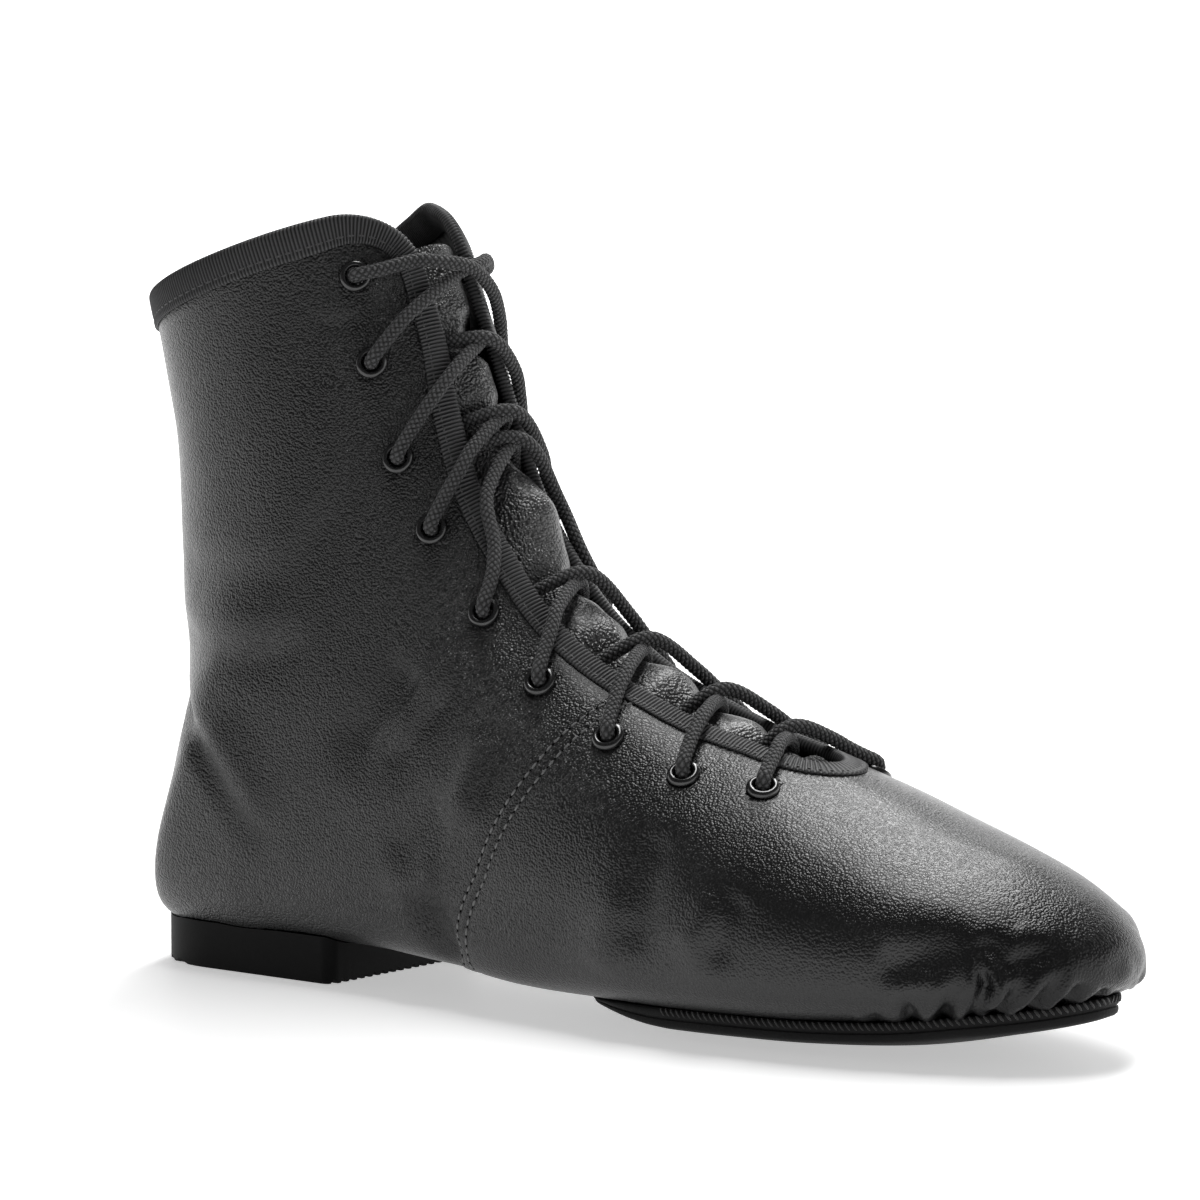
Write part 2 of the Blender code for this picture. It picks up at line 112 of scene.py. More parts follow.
def light_room():
    """A pale room: white low down behind the boot and at its sides, dimmer in front and above."""
    room = bpy.data.worlds.new("pale_room")
    bpy.context.scene.world = room
    room.use_nodes = True
    tree = room.node_tree
    place = add_node(tree, "ShaderNodeTexCoord")
    facing = add_node(tree, "ShaderNodeVectorMath", {0: place.outputs["Generated"]}, operation="DOT_PRODUCT")
    facing.inputs[1].default_value = ROOM_FRONT
    glow = add_node(
        tree, "ShaderNodeMapRange", {"Value": facing.outputs["Value"]}, interpolation_type="SMOOTHSTEP",
        From_Min=-0.3, From_Max=0.8, To_Min=ROOM_GLOW, To_Max=0.0,
    )
    height = add_node(tree, "ShaderNodeSeparateXYZ", {"Vector": place.outputs["Generated"]})
    low_down = add_node(
        tree, "ShaderNodeMapRange", {"Value": height.outputs["Z"]}, interpolation_type="SMOOTHSTEP",
        From_Min=0.12, From_Max=0.5, To_Min=1.0, To_Max=0.0,
    )
    shade = add_node(
        tree, "ShaderNodeMath", {0: glow.outputs["Result"], 1: low_down.outputs["Result"]},
        operation="MULTIPLY_ADD",
    )
    shade.inputs[2].default_value = ROOM_DIM
    tree.links.new(shade.outputs["Value"], tree.nodes["Background"].inputs["Strength"])
    tree.nodes["Background"].inputs["Color"].default_value = (1.0, 1.0, 1.0, 1.0)


light_room()
bpy.ops.object.light_add(type="AREA", location=STRIP_PLACE, rotation=(0, 0, math.radians(STRIP_TURN)))
strip = bpy.context.object
strip.name = "ceiling_strip"
strip.data.shape = "RECTANGLE"
strip.data.size, strip.data.size_y = STRIP_SIZE
strip.data.energy = STRIP_POWER

bpy.ops.object.select_all(action="DESELECT")
turn = math.radians(CAMERA_TURN)
bpy.ops.mesh.primitive_plane_add(
    size=FLOOR_SIDE, rotation=(0, 0, turn),
    location=(math.sin(turn) * FLOOR_FORWARD, -math.cos(turn) * FLOOR_FORWARD, -0.0002),
)
floor = bpy.context.object
floor.name = "studio_floor"
floor_look, tree, shader, place = new_material("pale_floor")
tree.links.new(add_range(tree, add_noise(tree, place, 3.0), 0.52, 0.56), shader.inputs["Roughness"])
set_shader(shader, Base_Color=(0.93, 0.93, 0.93, 1.0))
set_shader(shader, Emission_Color=(1.0, 1.0, 1.0, 1.0), Emission_Strength=FLOOR_GLOW)
floor.data.materials.append(floor_look)


# The upper: a vamp and two quarters of soft black grain leather, lasted and turned under the foot.
# The vamp laps over the quarters on each side and is held by two rows of stitching; at the toe it
# is gathered into small pleats as it turns in to the sole.
MM = 0.001
MIDDLE = np.array((117.0, -0.4, 0.0))
WALL = 1.4
VAMP_LAP = 0.85
COLUMNS = 150
TIP_DOME = 0.35
THROAT_END = 6.66
# Rings from the toe to the collar: the top point, the under point, the half widths to each side, the
# share of the height below the widest place, and the powers that square off the two halves.
# top_x, top_z, under_x, under_z, near, far, widest, top_power, under_power
RINGS = np.array((
    (240.0, 20.9, 240.0, 17.3, 2.6, 2.6, 0.50, 2.0, 2.0),
    (238.5, 24.4, 238.5, 15.2, 8.5, 8.8, 0.48, 2.0, 2.1),
    (235.0, 27.9, 235.0, 13.2, 14.9, 15.8, 0.44, 2.0, 2.3),
    (228.0, 32.5, 228.0, 11.0, 21.9, 23.4, 0.41, 2.0, 2.5),
    (217.0, 37.7, 217.0, 8.4, 28.4, 30.4, 0.40, 2.0, 2.7),
    (202.0, 43.1, 202.0, 5.9, 34.2, 36.0, 0.38, 2.0, 2.9),
    (184.0, 49.5, 184.0, 4.4, 38.5, 39.4, 0.36, 2.0, 3.0),
    (166.0, 55.9, 166.0, 3.9, 40.7, 40.0, 0.34, 2.0, 3.1),
    (148.0, 62.2, 148.0, 3.8, 40.3, 38.4, 0.33, 2.0, 3.4),
    (131.0, 69.7, 131.0, 4.0, 38.4, 36.0, 0.32, 2.0, 3.8),
    (116.0, 78.5, 112.5, 4.6, 36.0, 33.6, 0.31, 2.0, 4.2),
    (104.0, 88.8, 93.5, 6.2, 33.5, 32.0, 0.30, 2.0, 4.4),
    (95.6, 100.0, 71.0, 7.6, 31.6, 31.0, 0.30, 2.0, 4.6),
    (89.4, 111.0, 47.0, 7.8, 31.4, 31.0, 0.31, 2.0, 4.8),
    (85.0, 121.8, 23.5, 7.4, 31.8, 31.6, 0.33, 2.0, 4.8),
    (81.0, 130.9, 2.6, 9.8, 32.2, 32.2, 0.38, 2.0, 4.0),
    (77.7, 138.4, 2.9, 29.0, 32.0, 32.0, 0.43, 2.0, 2.6),
    (74.3, 145.8, 4.9, 53.2, 30.9, 30.9, 0.46, 2.0, 2.2),
    (71.3, 153.1, 2.8, 81.4, 29.9, 29.9, 0.48, 2.0, 2.2),
    (68.4, 160.5, 1.2, 111.0, 29.8, 29.8, 0.48, 2.0, 2.2),
    (65.5, 167.5, -5.0, 144.6, 31.6, 31.6, 0.48, 2.0, 2.2),
))
COLLAR = len(RINGS) - 1
# Half width of the throat's gap by station, behind its round end.
THROAT_ROUND = (0.74, 9.3)
HALF_GAP = np.array((
    (7.4, 9.3), (8.0, 11.0), (9.0, 12.0), (10.2, 12.4), (11.6, 11.2), (13.5, 10.8), (15.3, 9.2),
    (16.5, 8.2), (18.0, 7.9), (18.3, 7.95),
)).T
# Where each flap's round corner starts, the half gap there, and how far the corner spreads from it.
FLAP_CORNERS = {-1: (18.2, 8.0, 14.5), 1: (18.7, 8.0, 7.5)}
# Station of the vamp's back edge by angle from the top line.
SEAM = np.array((
    (0.0, 8.9), (0.3, 9.05), (0.95, 9.72), (1.5, 10.45), (1.95, 10.75), (2.3, 10.85), (3.2, 10.9),
)).T
SEAM_ROW, SEAM_SPREAD = 10.0, 2.8
STITCH_ROWS = (0.95, 3.95)
# How far ahead of its edge the vamp's lap fades out, the furrow along a row of stitches as depth and
# reach, and the puff between the rows as height, place and reach.
LAP_FADE = (6.0, 30.0)
FURROW_DEPTH, FURROW_REACH = 0.32, 0.65
PUFF_HEIGHT, PUFF_PLACE, PUFF_REACH = 0.15, 2.45, 0.8
# Eyelets of one side from the collar down: station and angle from the top line.
EYELETS = (
    (18.8, 0.72), (17.0, 0.71), (14.8, 0.65), (13.3, 0.66), (11.6, 0.67), (10.2, 0.68), (8.9, 0.70),
    (7.8, 0.66), (6.9, 0.52),
)
EYELET_HOLE = 2.75
# Openings under the foot, which the pad and the heel close: back, front and half width.
SOLE_OPENINGS = ((139.0, 220.5, 20.0), (13.0, 48.0, 14.0))
# The inner flap leans over the foot near the collar: from which station, and how far at the top.
FLAP_LEAN = 18.5
LEAN_BACK, LEAN_INWARD, LEAN_UP = 4.5, 7.5, 3.0
# How much lower the inner flap lies along the throat, by station.
INNER_DROP = np.array((
    (5.0, 0.0), (6.6, 0.5), (8.0, 2.2), (9.5, 2.8), (12.0, 2.6), (13.5, 1.6), (15.5, 0.3), (17.0, 0.0),
    (20.0, 0.0),
)).T
# Rings to mesh: how many steps up to each station. The last step at the seam is the lap's cut edge.
RING_STEPS = (
    (-1.0, 0), (0.0, 6), (1.0, 10), (2.0, 12), (3.0, 14), (4.0, 18), (5.0, 22), (6.0, 16), (6.66, 10),
)
RING_STEPS_BEHIND = (
    (9.0, 26), (9.9, 16), (10.0, 5), (10.012, 1), (10.15, 5), (11.0, 16), (12.0, 14), (13.0, 13),
    (14.0, 13), (15.0, 12), (16.0, 12), (17.0, 10), (18.0, 10), (18.2, 3),
)
CORNER_START, CORNER_STEPS = 18.2, 22
# Soft creases on the outer side: width, height (negative for a trough), and points in millimetres.
CREASES = (
    (3.0, -1.3, (
        (9, 24, 72), (2, 10, 69), (1, -6, 67), (5, -18, 64), (12, -26, 60), (25, -32, 51), (38, -32, 35),
        (47, -31, 24),
    )),
    (5.0, 0.55, ((24, -31, 57), (31, -32, 50), (38, -32, 41), (45, -31.6, 34))),
    (3.4, 0.95, ((97, -23, 77), (93, -24.6, 74), (88, -27.8, 65.6), (81.5, -29.7, 57.5), (72, -31, 49))),
    (5.0, -0.8, ((83, -27, 71), (80, -28, 68), (73, -30, 58), (63, -31, 47))),
    (3.2, -0.6, ((95, -27, 68), (88, -29, 60), (82.6, -30, 54), (76, -31, 48))),
    (3.4, 0.7, ((105, -29.5, 59), (104, -30, 56), (101, -32.6, 46), (97, -33.3, 36))),
    (2.8, -0.5, ((109, -29, 60), (107, -32, 50.5), (105, -33.3, 42))),
    (4.6, -0.5, ((95, -32, 46), (92, -32.3, 42), (86, -32.2, 34.7), (82, -32, 27))),
    (3.8, -1.0, ((89, -32.8, 25), (91, -32.7, 19), (95, -32, 13), (99, -30, 8))),
    (4.4, 0.45, ((79, -32, 20), (83, -32.3, 25), (89, -32.6, 29), (95, -33, 28))),
    (0.8, 0.3, ((94, -24.8, 73), (99.6, -23.8, 72.7), (107, -22, 71.8), (110, -21.4, 71))),
    (0.7, 0.25, ((99, -25.2, 70.2), (103, -24, 70.6), (106, -23.6, 70))),
    (0.7, -0.2, ((96, -24.8, 71.5), (103, -23.5, 71.3), (108, -22.3, 70.8))),
    (4.2, -0.7, ((153, -33, 44), (152, -37, 38), (152, -40.4, 26), (148.5, -40.3, 16))),
    (4.2, 0.4, ((146, -38, 34), (145, -40, 26), (142, -39.5, 18), (141, -38, 12))),
    (3.6, 0.55, ((171, -38, 33), (169, -39.3, 28.8), (167, -40.5, 23.7), (161, -40.8, 17))),
    (3.6, -0.55, ((175, -37, 33), (173, -38.8, 28.9), (172, -40, 23.8), (168.5, -40.4, 15))),
    (3.8, -0.8, ((203, -33.5, 20), (207, -32.5, 20.4), (214.7, -28.8, 23), (222, -23.2, 25.3))),
    (2.8, -1.0, ((221, -22, 28), (223, -23, 25), (227, -22.3, 21.5), (230, -18.8, 22.8), (235, -11, 24))),
    (3.0, 0.2, ((225, -18, 28), (229, -17, 26), (233, -12, 25.5))),
    (3.0, 0.5, ((205, -33, 15), (211, -31, 17), (216, -28.5, 19))),
    (2.4, 0.35, ((64, -20, 148), (60, -23, 146), (54, -26, 144))),
    (2.2, -0.35, ((67, -18, 143), (60, -23, 142), (52, -26.5, 141))),
    (4.0, -0.45, ((6, -20, 92), (20, -28, 88), (38, -29.5, 87), (52, -28, 90))),
    (4.5, 0.4, ((6, -20, 84), (22, -29, 79), (42, -30, 78), (58, -28.5, 82))),
    (3.5, -0.4, ((5, -20, 75), (22, -30, 71), (42, -30.5, 70), (60, -29.5, 74))),
)
# Pleats of the toe, from their soft top end down to the sole: depth and points.
PLEATS = (
    (0.8, ((201.6, -30, 11.2), (200.7, -28.6, 9.2), (197.7, -20.6, 7.7))),
    (1.7, ((209.6, -31, 15.2), (207.6, -26.4, 9.6), (204.6, -19.0, 8.1))),
    (2.2, ((218.6, -27.7, 18.0), (212.9, -23.6, 10.0), (209.9, -17.0, 8.5))),
    (2.2, ((221.7, -25, 24.5), (223.5, -24.7, 17.1), (218.3, -21.4, 10.6), (215.3, -15.4, 9.1))),
    (2.3, ((230.3, -20.5, 19.8), (221.9, -19.8, 11.3), (218.9, -14.3, 9.8))),
    (2.2, ((234.6, -15.8, 19.3), (227.1, -16.6, 12.2), (224.1, -12.0, 10.7))),
    (1.8, ((237.4, -10.8, 18.3), (233.2, -12, 13.6), (230.2, -8.6, 12.1))),
    (1.1, ((238.9, -4.6, 17.0), (236.4, -5.3, 13.9), (233.4, -3.8, 12.4))),
)
# Height and width of the creases as shares of those above, for the fine and the broad ones.
FINE_FOLD, BROAD_FOLD = (1.5, 1.0), (2.3, 1.25)
# How far the inner side's creases are moved, the reach of a pleat's valley, the place and reach of the
# ridge beside it, and where along the foot all of them fade out.
INNER_SHIFT = (-2.2, -0.6, 1.3)
PLEAT_VALLEY, PLEAT_RIDGE = 1.2, (2.8, 1.4)
CREASE_FADE = (236.8, 239.6)
SWELL = ((31.0, 0.45), (13.0, 0.16))


def ramp(value, start, end):
    """A smooth rise from 0 at start to 1 at end."""
    share = np.clip((value - start) / (end - start), 0.0, 1.0)
    return share * share * (3 - 2 * share)


def bell(value, middle, reach):
    """A smooth hump of height 1 about a middle."""
    return np.exp(-(((value - middle) / reach) ** 2))


def smooth(at, table):
    """A smooth curve through a table of two rows, as a spline bent round pins."""
    xs, ys = table
    slopes = np.gradient(ys, xs)
    left = np.clip(np.searchsorted(xs, at, side="right") - 1, 0, len(xs) - 2)
    span = xs[left + 1] - xs[left]
    t = np.clip((at - xs[left]) / span, 0.0, 1.0)
    return (
        ys[left] * (2 * t**3 - 3 * t**2 + 1) + ys[left + 1] * (3 * t**2 - 2 * t**3)
        + slopes[left] * span * (t**3 - 2 * t**2 + t) + slopes[left + 1] * span * (t**3 - t**2)
    )


def ring_at(station):
    """The ring's nine columns at each station, on a smooth curve through the table."""
    at = np.clip(np.floor(station).astype(int), 0, COLLAR - 1)
    t = (station - at)[:, None]
    before, here = RINGS[np.maximum(at - 1, 0)], RINGS[at]
    after, beyond = RINGS[at + 1], RINGS[np.minimum(at + 2, COLLAR)]
    leave = np.where(at == 0, 1.0, 0.5)[:, None]
    reach = np.where(at == COLLAR - 1, 1.0, 0.5)[:, None]
    return (
        here * (2 * t**3 - 3 * t**2 + 1) + after * (3 * t**2 - 2 * t**3)
        + (after - before) * (t**3 - 2 * t**2 + t) * leave + (beyond - here) * (t**3 - t**2) * reach
    ).T


def skin(station, angle):
    """The bare last: angle 0 is the top line, negative angles are the outer side of the foot."""
    ring = ring_at(np.clip(station, 0.0, COLLAR))
    top_x, top_z, under_x, under_z, near, far, widest, top_power, under_power = ring
    rise, run = np.cos(angle), np.sin(angle)
    power = np.where(rise >= 0, top_power, under_power)
    radius = (np.abs(rise) ** power + np.abs(run) ** power) ** (-1 / power)
    height = widest + np.where(rise >= 0, 1 - widest, widest) * radius * rise
    half = np.where(run > 0, far, near)
    lean = np.clip((station - FLAP_LEAN) / (COLLAR - FLAP_LEAN), 0.0, 1.0) ** 2 * (run > 0)
    side = np.abs(angle)
    back = LEAN_BACK * lean * (1 - ramp(side, 0.9, 1.9))
    inward = LEAN_INWARD * lean * ramp(side, 0.2, 0.9) * (1 - ramp(side, 1.1, 2.0))
    up = LEAN_UP * lean * ramp(side, 0.4, 0.8) * (1 - ramp(side, 1.5, 2.4))
    low = smooth(station, INNER_DROP) * (run > 0) * ramp(side, 0.08, 0.4) * (1 - ramp(side, 0.9, 1.8))
    points = np.column_stack((
        under_x + (top_x - under_x) * height - back, half * radius * run - inward,
        under_z + (top_z - under_z) * height + up - low,
    ))
    out = np.clip(1 + station, 0.0, 1.0)[:, None]
    tip = np.array((RINGS[0][0], 0.0, (RINGS[0][1] + RINGS[0][3]) / 2))
    return tip + (points - tip) * out + np.array((TIP_DOME, 0, 0)) * (1 - out**2)


def unit(vectors):
    length = np.linalg.norm(vectors, axis=1, keepdims=True)
    return vectors / np.maximum(length, 1e-9)


def outward(station, angle):
    """Unit normals, out of the boot."""
    step = 0.02
    ahead = skin(station - step, angle) - skin(np.minimum(station + step, COLLAR), angle)
    around = skin(station, angle + step) - skin(station, angle - step)
    normal = np.cross(ahead, around)
    normal[np.linalg.norm(normal, axis=1) < 1e-9] = (1.0, 0.0, 0.0)
    return unit(normal)


def turned(angle):
    """Angles brought to the range from -pi to pi."""
    return (angle + math.pi) % (2 * math.pi) - math.pi


def seam_station(angle):
    return smooth(np.abs(turned(angle)), SEAM)


def from_seam(station, angle):
    """Millimetres in front of the vamp's back edge."""
    pace = np.linalg.norm(skin(station + 0.03, angle) - skin(station - 0.03, angle), axis=1) / 0.06
    return (seam_station(angle) - station) * pace


def to_stroke(points, stroke):
    """Distance of each point to a line of points, and the share of the way along it."""
    stroke = np.array(stroke, float)
    nearest = np.full(len(points), 1e9)
    share = np.zeros(len(points))
    for number, (start, end) in enumerate(zip(stroke, stroke[1:])):
        run = end - start
        t = np.clip((points - start) @ run / (run @ run), 0.0, 1.0)
        away = np.linalg.norm(points - start - t[:, None] * run, axis=1)
        closer = away < nearest
        nearest = np.where(closer, away, nearest)
        share = np.where(closer, (number + t) / (len(stroke) - 1), share)
    return nearest, share


def creased(points):
    """Height of the creases and pleats. The inner side has the same ones, a little shifted."""
    height = np.zeros(len(points))
    for here in (points, points * (1.0, -1.0, 1.0) + INNER_SHIFT):
        for width, lift, stroke in CREASES:
            away, share = to_stroke(here, stroke)
            ends = ramp(share, 0.0, 0.3) * (1 - ramp(share, 0.72, 1.0))
            deep, broad = BROAD_FOLD if width > 3 else FINE_FOLD
            height += deep * lift * ends * bell(away, 0.0, broad * width)
        for depth, stroke in PLEATS:
            away, share = to_stroke(here, stroke)
            ends = ramp(share, -0.05, 0.4) * (1 - 0.65 * ramp(share, 0.25, 0.6))
            valley = bell(away, 0.0, PLEAT_VALLEY) - 0.5 * bell(away, *PLEAT_RIDGE)
            height -= depth * ends * valley
    for wave, lift in SWELL:
        height += lift * np.array([noise.noise(place) for place in (points / wave).tolist()])
    return height * (1 - ramp(points[:, 0], *CREASE_FADE))


def leather(station, angle, lift=0.0):
    """The leather's outer face with its lap, stitch furrows and creases, or a place above it."""
    station, angle = np.broadcast_arrays(np.asarray(station, float), np.asarray(angle, float))
    points = skin(station, angle)
    ahead = from_seam(station, angle)
    side = np.abs(turned(angle))
    ends = ramp(side, 0.36, 0.5) * (1 - ramp(side, 2.3, 2.6))
    lap = np.where(ahead > -0.01, VAMP_LAP * (1 - ramp(ahead, *LAP_FADE)), 0.0)
    for row in STITCH_ROWS:
        lap = lap - FURROW_DEPTH * bell(ahead, row, FURROW_REACH)
    lap = lap + PUFF_HEIGHT * bell(ahead, PUFF_PLACE, PUFF_REACH)
    height = lift + ends * lap * ramp(station, 4.0, 6.0) + creased(points)
    return points + outward(station, angle) * np.broadcast_to(height, station.shape)[:, None]


def throat_half(station, side):
    """Half width of the throat's gap: a round end, then the table, then the flap's round corner."""
    reach, half = THROAT_ROUND
    back = np.clip((THROAT_END + reach - station) / reach, 0.0, 1.0)
    gap = np.where(station < THROAT_END + reach, half * np.sqrt(1 - back**2), smooth(station, HALF_GAP))
    start, narrow, spread = FLAP_CORNERS[side]
    up = np.clip((station - start) / (COLLAR - start), 0.0, 1.0)
    return np.where(station > start, narrow + spread * (1 - np.sqrt(1 - up**2)), gap)


def ring_station(row, angle):
    """A ring bent near the vamp's edge, so that the ring at the seam's row lies along it."""
    weight = np.cos(np.pi / 2 * np.clip((row - SEAM_ROW) / SEAM_SPREAD, -1.0, 1.0)) ** 2
    return row + (seam_station(angle) - SEAM_ROW) * weight


def throat_edge(row, side):
    """Angle of the throat's edge from the top line on one side, on a ring that may be bent."""
    half_width = 4 if side < 0 else 5
    edge = np.full(len(row), 0.35)
    for _ in range(6):
        station = ring_station(row, edge)
        edge = np.arcsin(np.clip(throat_half(station, side) / ring_at(station)[half_width], 0.0, 0.99))
    return np.where(row > THROAT_END, edge, 0.0)


def start_grid(name, across, lengthways):
    """A flat grid to be shaped, with the shares of the way across and along of its points."""
    bpy.ops.object.select_all(action="DESELECT")
    bpy.ops.mesh.primitive_grid_add(x_subdivisions=across, y_subdivisions=lengthways, size=1.0)
    piece = bpy.context.object
    piece.name = piece.data.name = name
    flat = np.empty(len(piece.data.vertices) * 3)
    piece.data.vertices.foreach_get("co", flat)
    return piece, flat[0::3] + 0.5, flat[1::3] + 0.5


def shape(piece, points):
    """Move a mesh's points to places in the working millimetres."""
    piece.data.vertices.foreach_set("co", ((points - MIDDLE) * MM).ravel())
    piece.data.update()


def places(piece):
    """A mesh's points in the working millimetres."""
    flat = np.empty(len(piece.data.vertices) * 3)
    piece.data.vertices.foreach_get("co", flat)
    return flat.reshape(-1, 3) / MM + MIDDLE


def select_alone(piece):
    bpy.ops.object.select_all(action="DESELECT")
    bpy.context.view_layer.objects.active = piece
    piece.select_set(True)


def edit(piece, *steps):
    """Run edit-mode operators on the whole of a piece."""
    select_alone(piece)
    bpy.ops.object.mode_set(mode="EDIT")
    bpy.ops.mesh.select_all(action="SELECT")
    for step in steps:
        step()
    bpy.ops.object.mode_set(mode="OBJECT")


def merge():
    bpy.ops.mesh.remove_doubles(threshold=1e-6)


def face_out():
    bpy.ops.mesh.normals_make_consistent(inside=False)


def let_go():
    bpy.ops.mesh.select_all(action="DESELECT")


def apply_modifier(piece, modifier):
    bpy.context.view_layer.objects.active = piece
    bpy.ops.object.modifier_apply(modifier=modifier.name)


def finish_piece(piece, look, slot, *nodes, sharp=None):
    """Smooth shading, material and the frame's calls for a finished piece."""
    if not piece.data.materials:
        piece.data.materials.append(look)
    select_alone(piece)
    if sharp:
        bpy.ops.object.shade_smooth_by_angle(angle=math.radians(sharp))
    else:
        bpy.ops.object.shade_smooth()
    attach(piece, "root")
    if nodes:
        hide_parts(*nodes)
    return piece


def add_bump(tree, shader, height, strength, distance):
    bump = add_node(tree, "ShaderNodeBump", {"Height": height}, Strength=strength, Distance=distance)
    tree.links.new(bump.outputs["Normal"], shader.inputs["Normal"])


def add_tones(tree, shader, pattern, dark, pale):
    """The colour between two near blacks by a pattern, each given as its grey and its slightly bluer blue."""
    tone = add_node(tree, "ShaderNodeMix", {"Factor": pattern}, data_type="RGBA")
    for socket, (grey, blue) in ((6, dark), (7, pale)):
        tone.inputs[socket].default_value = (grey, grey, blue, 1.0)
    tree.links.new(tone.outputs[2], shader.inputs["Base Color"])


def leather_look(name, dark, pale, grain, gloss, shine):
    """Black grain leather: pebbles half a millimetre wide, fine pores, and a thin soft finish.
    The grain is flatter on the stretched vamp than on the slack shaft, and the toe is rubbed dull."""
    made, tree, shader, place = new_material(name)
    object_place = place.outputs["Object"]
    bend = add_node(tree, "ShaderNodeTexNoise", {"Vector": object_place}, Scale=700.0, Detail=1.0)
    warp = add_node(
        tree, "ShaderNodeMixRGB", {"Color1": object_place, "Color2": bend.outputs["Color"]},
        blend_type="LINEAR_LIGHT", Fac=0.00025,
    )
    pebble = add_node(
        tree, "ShaderNodeTexVoronoi", {"Vector": warp.outputs["Color"]}, feature="SMOOTH_F1",
        Scale=grain, Smoothness=0.35,
    )
    pores = add_noise(tree, place, grain * 2.4)
    patch = add_noise(tree, place, 36.0, 4.0)
    strength = add_range(tree, patch, 0.75, 1.1, 0.32, 0.68)
    dome = add_node(
        tree, "ShaderNodeMath", {0: pebble.outputs["Distance"], 1: strength}, operation="MULTIPLY",
    )
    relief = add_node(
        tree, "ShaderNodeMath", {0: pores, 2: dome.outputs["Value"]}, operation="MULTIPLY_ADD",
    )
    relief.inputs[1].default_value = 0.14
    stretch = add_node(tree, "ShaderNodeMapping", {"Vector": object_place}, Scale=(700.0, 700.0, 260.0))
    lines = add_node(tree, "ShaderNodeTexNoise", {"Vector": stretch.outputs["Vector"]}, Scale=1.0, Detail=2.0)
    wrinkle = add_node(
        tree, "ShaderNodeBump", {"Height": lines.outputs["Fac"]}, Strength=0.25, Distance=0.0002,
    )
    length = add_node(tree, "ShaderNodeSeparateXYZ", {"Vector": object_place}).outputs["X"]
    slack = add_range(tree, length, 1.0, 0.45, -0.01, 0.05)
    bump = add_node(
        tree, "ShaderNodeBump",
        {"Height": relief.outputs["Value"], "Normal": wrinkle.outputs["Normal"], "Strength": slack},
        Distance=0.0005, invert=True,
    )
    add_tones(tree, shader, patch, dark, pale)
    rubbed = add_range(tree, length, shine, 0.5 * shine, 0.09, 0.116)
    tree.links.new(add_range(tree, patch, gloss, gloss + 0.1, 0.3, 0.7), shader.inputs["Roughness"])
    tree.links.new(bump.outputs["Normal"], shader.inputs["Normal"])
    tree.links.new(rubbed, shader.inputs["Specular IOR Level"])
    set_shader(shader, Coat_Weight=0.2, Coat_Roughness=0.24)
    return made


def lining_look():
    """Thin black cotton drill, seen only down the boot."""
    made, tree, shader, place = new_material("drill_lining")
    weave = add_node(
        tree, "ShaderNodeTexWave", {"Vector": place.outputs["Object"]}, bands_direction="DIAGONAL",
        Scale=420.0, Distortion=1.2, Detail=1.0,
    )
    add_bump(tree, shader, weave.outputs["Fac"], 0.4, 0.0002)
    add_tones(tree, shader, add_noise(tree, place, 60.0, 3.0), (0.005, 0.0055), (0.010, 0.0105))
    set_shader(shader, Roughness=0.85, Sheen_Weight=0.1)
    return made


def ring_rows():
    rows = []
    for (start, _), (end, count) in zip(RING_STEPS, RING_STEPS[1:]):
        rows += list(start + (end - start) * np.arange(count) / count)
    reach = THROAT_ROUND[0]
    rows += list(THROAT_END + reach * (1 - np.cos(np.pi / 2 * np.arange(22) / 22)))
    start = THROAT_END + reach
    for end, count in RING_STEPS_BEHIND:
        rows += list(start + (end - start) * np.arange(count) / count)
        start = end
    rows += list(start + (COLLAR - start) * np.sin(np.pi / 2 * np.arange(CORNER_STEPS) / CORNER_STEPS))
    return np.array(rows + [float(COLLAR)])


def open_holes(piece):
    """Take out the eyelet holes and the two places under the foot that the sole pieces close."""
    points = places(piece)
    corners = np.empty(len(piece.data.loops), int)
    piece.data.loops.foreach_get("vertex_index", corners)
    starts = np.empty(len(piece.data.polygons), int)
    counts = np.empty(len(piece.data.polygons), int)
    piece.data.polygons.foreach_get("loop_start", starts)
    piece.data.polygons.foreach_get("loop_total", counts)
    owner = np.repeat(np.arange(len(starts)), counts)
    centres = np.zeros((len(starts), 3))
    np.add.at(centres, owner, points[corners])
    centres /= counts[:, None]
    gone = np.zeros(len(starts), bool)

    def open_one(inside, snap):
        taken = inside(centres)
        kept = np.zeros(len(points), bool)
        kept[corners[~taken[owner]]] = True
        lost = np.zeros(len(points), bool)
        lost[corners[taken[owner]]] = True
        rim = kept & lost
        points[rim] = snap(points[rim])
        gone[taken] = True

    for side in (-1, 1):
        for station, angle in EYELETS:
            seat = leather([station], [side * angle])[0]
            axis = outward(np.array([station]), np.array([side * angle]))[0]

            def split(here):
                along = (here - seat) @ axis
                return along, here - seat - along[:, None] * axis

            def in_hole(here):
                along, across = split(here)
                return (np.linalg.norm(across, axis=1) < EYELET_HOLE) & (np.abs(along) < 5)

            def to_rim(here):
                along, across = split(here)
                return seat + along[:, None] * axis + unit(across) * EYELET_HOLE

            open_one(in_hole, to_rim)
    for back, front, half in SOLE_OPENINGS:
        middle = np.array(((back + front) / 2, 0.0))
        size = np.array(((front - back) / 2, half))

        def in_oval(here):
            return (np.linalg.norm((here[:, :2] - middle) / size, axis=1) < 1) & (here[:, 2] < 13)

        def to_oval(here):
            moved = here.copy()
            moved[:, :2] = middle + unit((here[:, :2] - middle) / size) * size
            return moved

        open_one(in_oval, to_oval)
    shape(piece, points)
    piece.data.polygons.foreach_set("select", gone)
    bpy.ops.object.mode_set(mode="EDIT")
    bpy.ops.mesh.select_mode(type="FACE")
    bpy.ops.mesh.delete(type="FACE")
    bpy.ops.mesh.select_mode(type="VERT")
    bpy.ops.object.mode_set(mode="OBJECT")


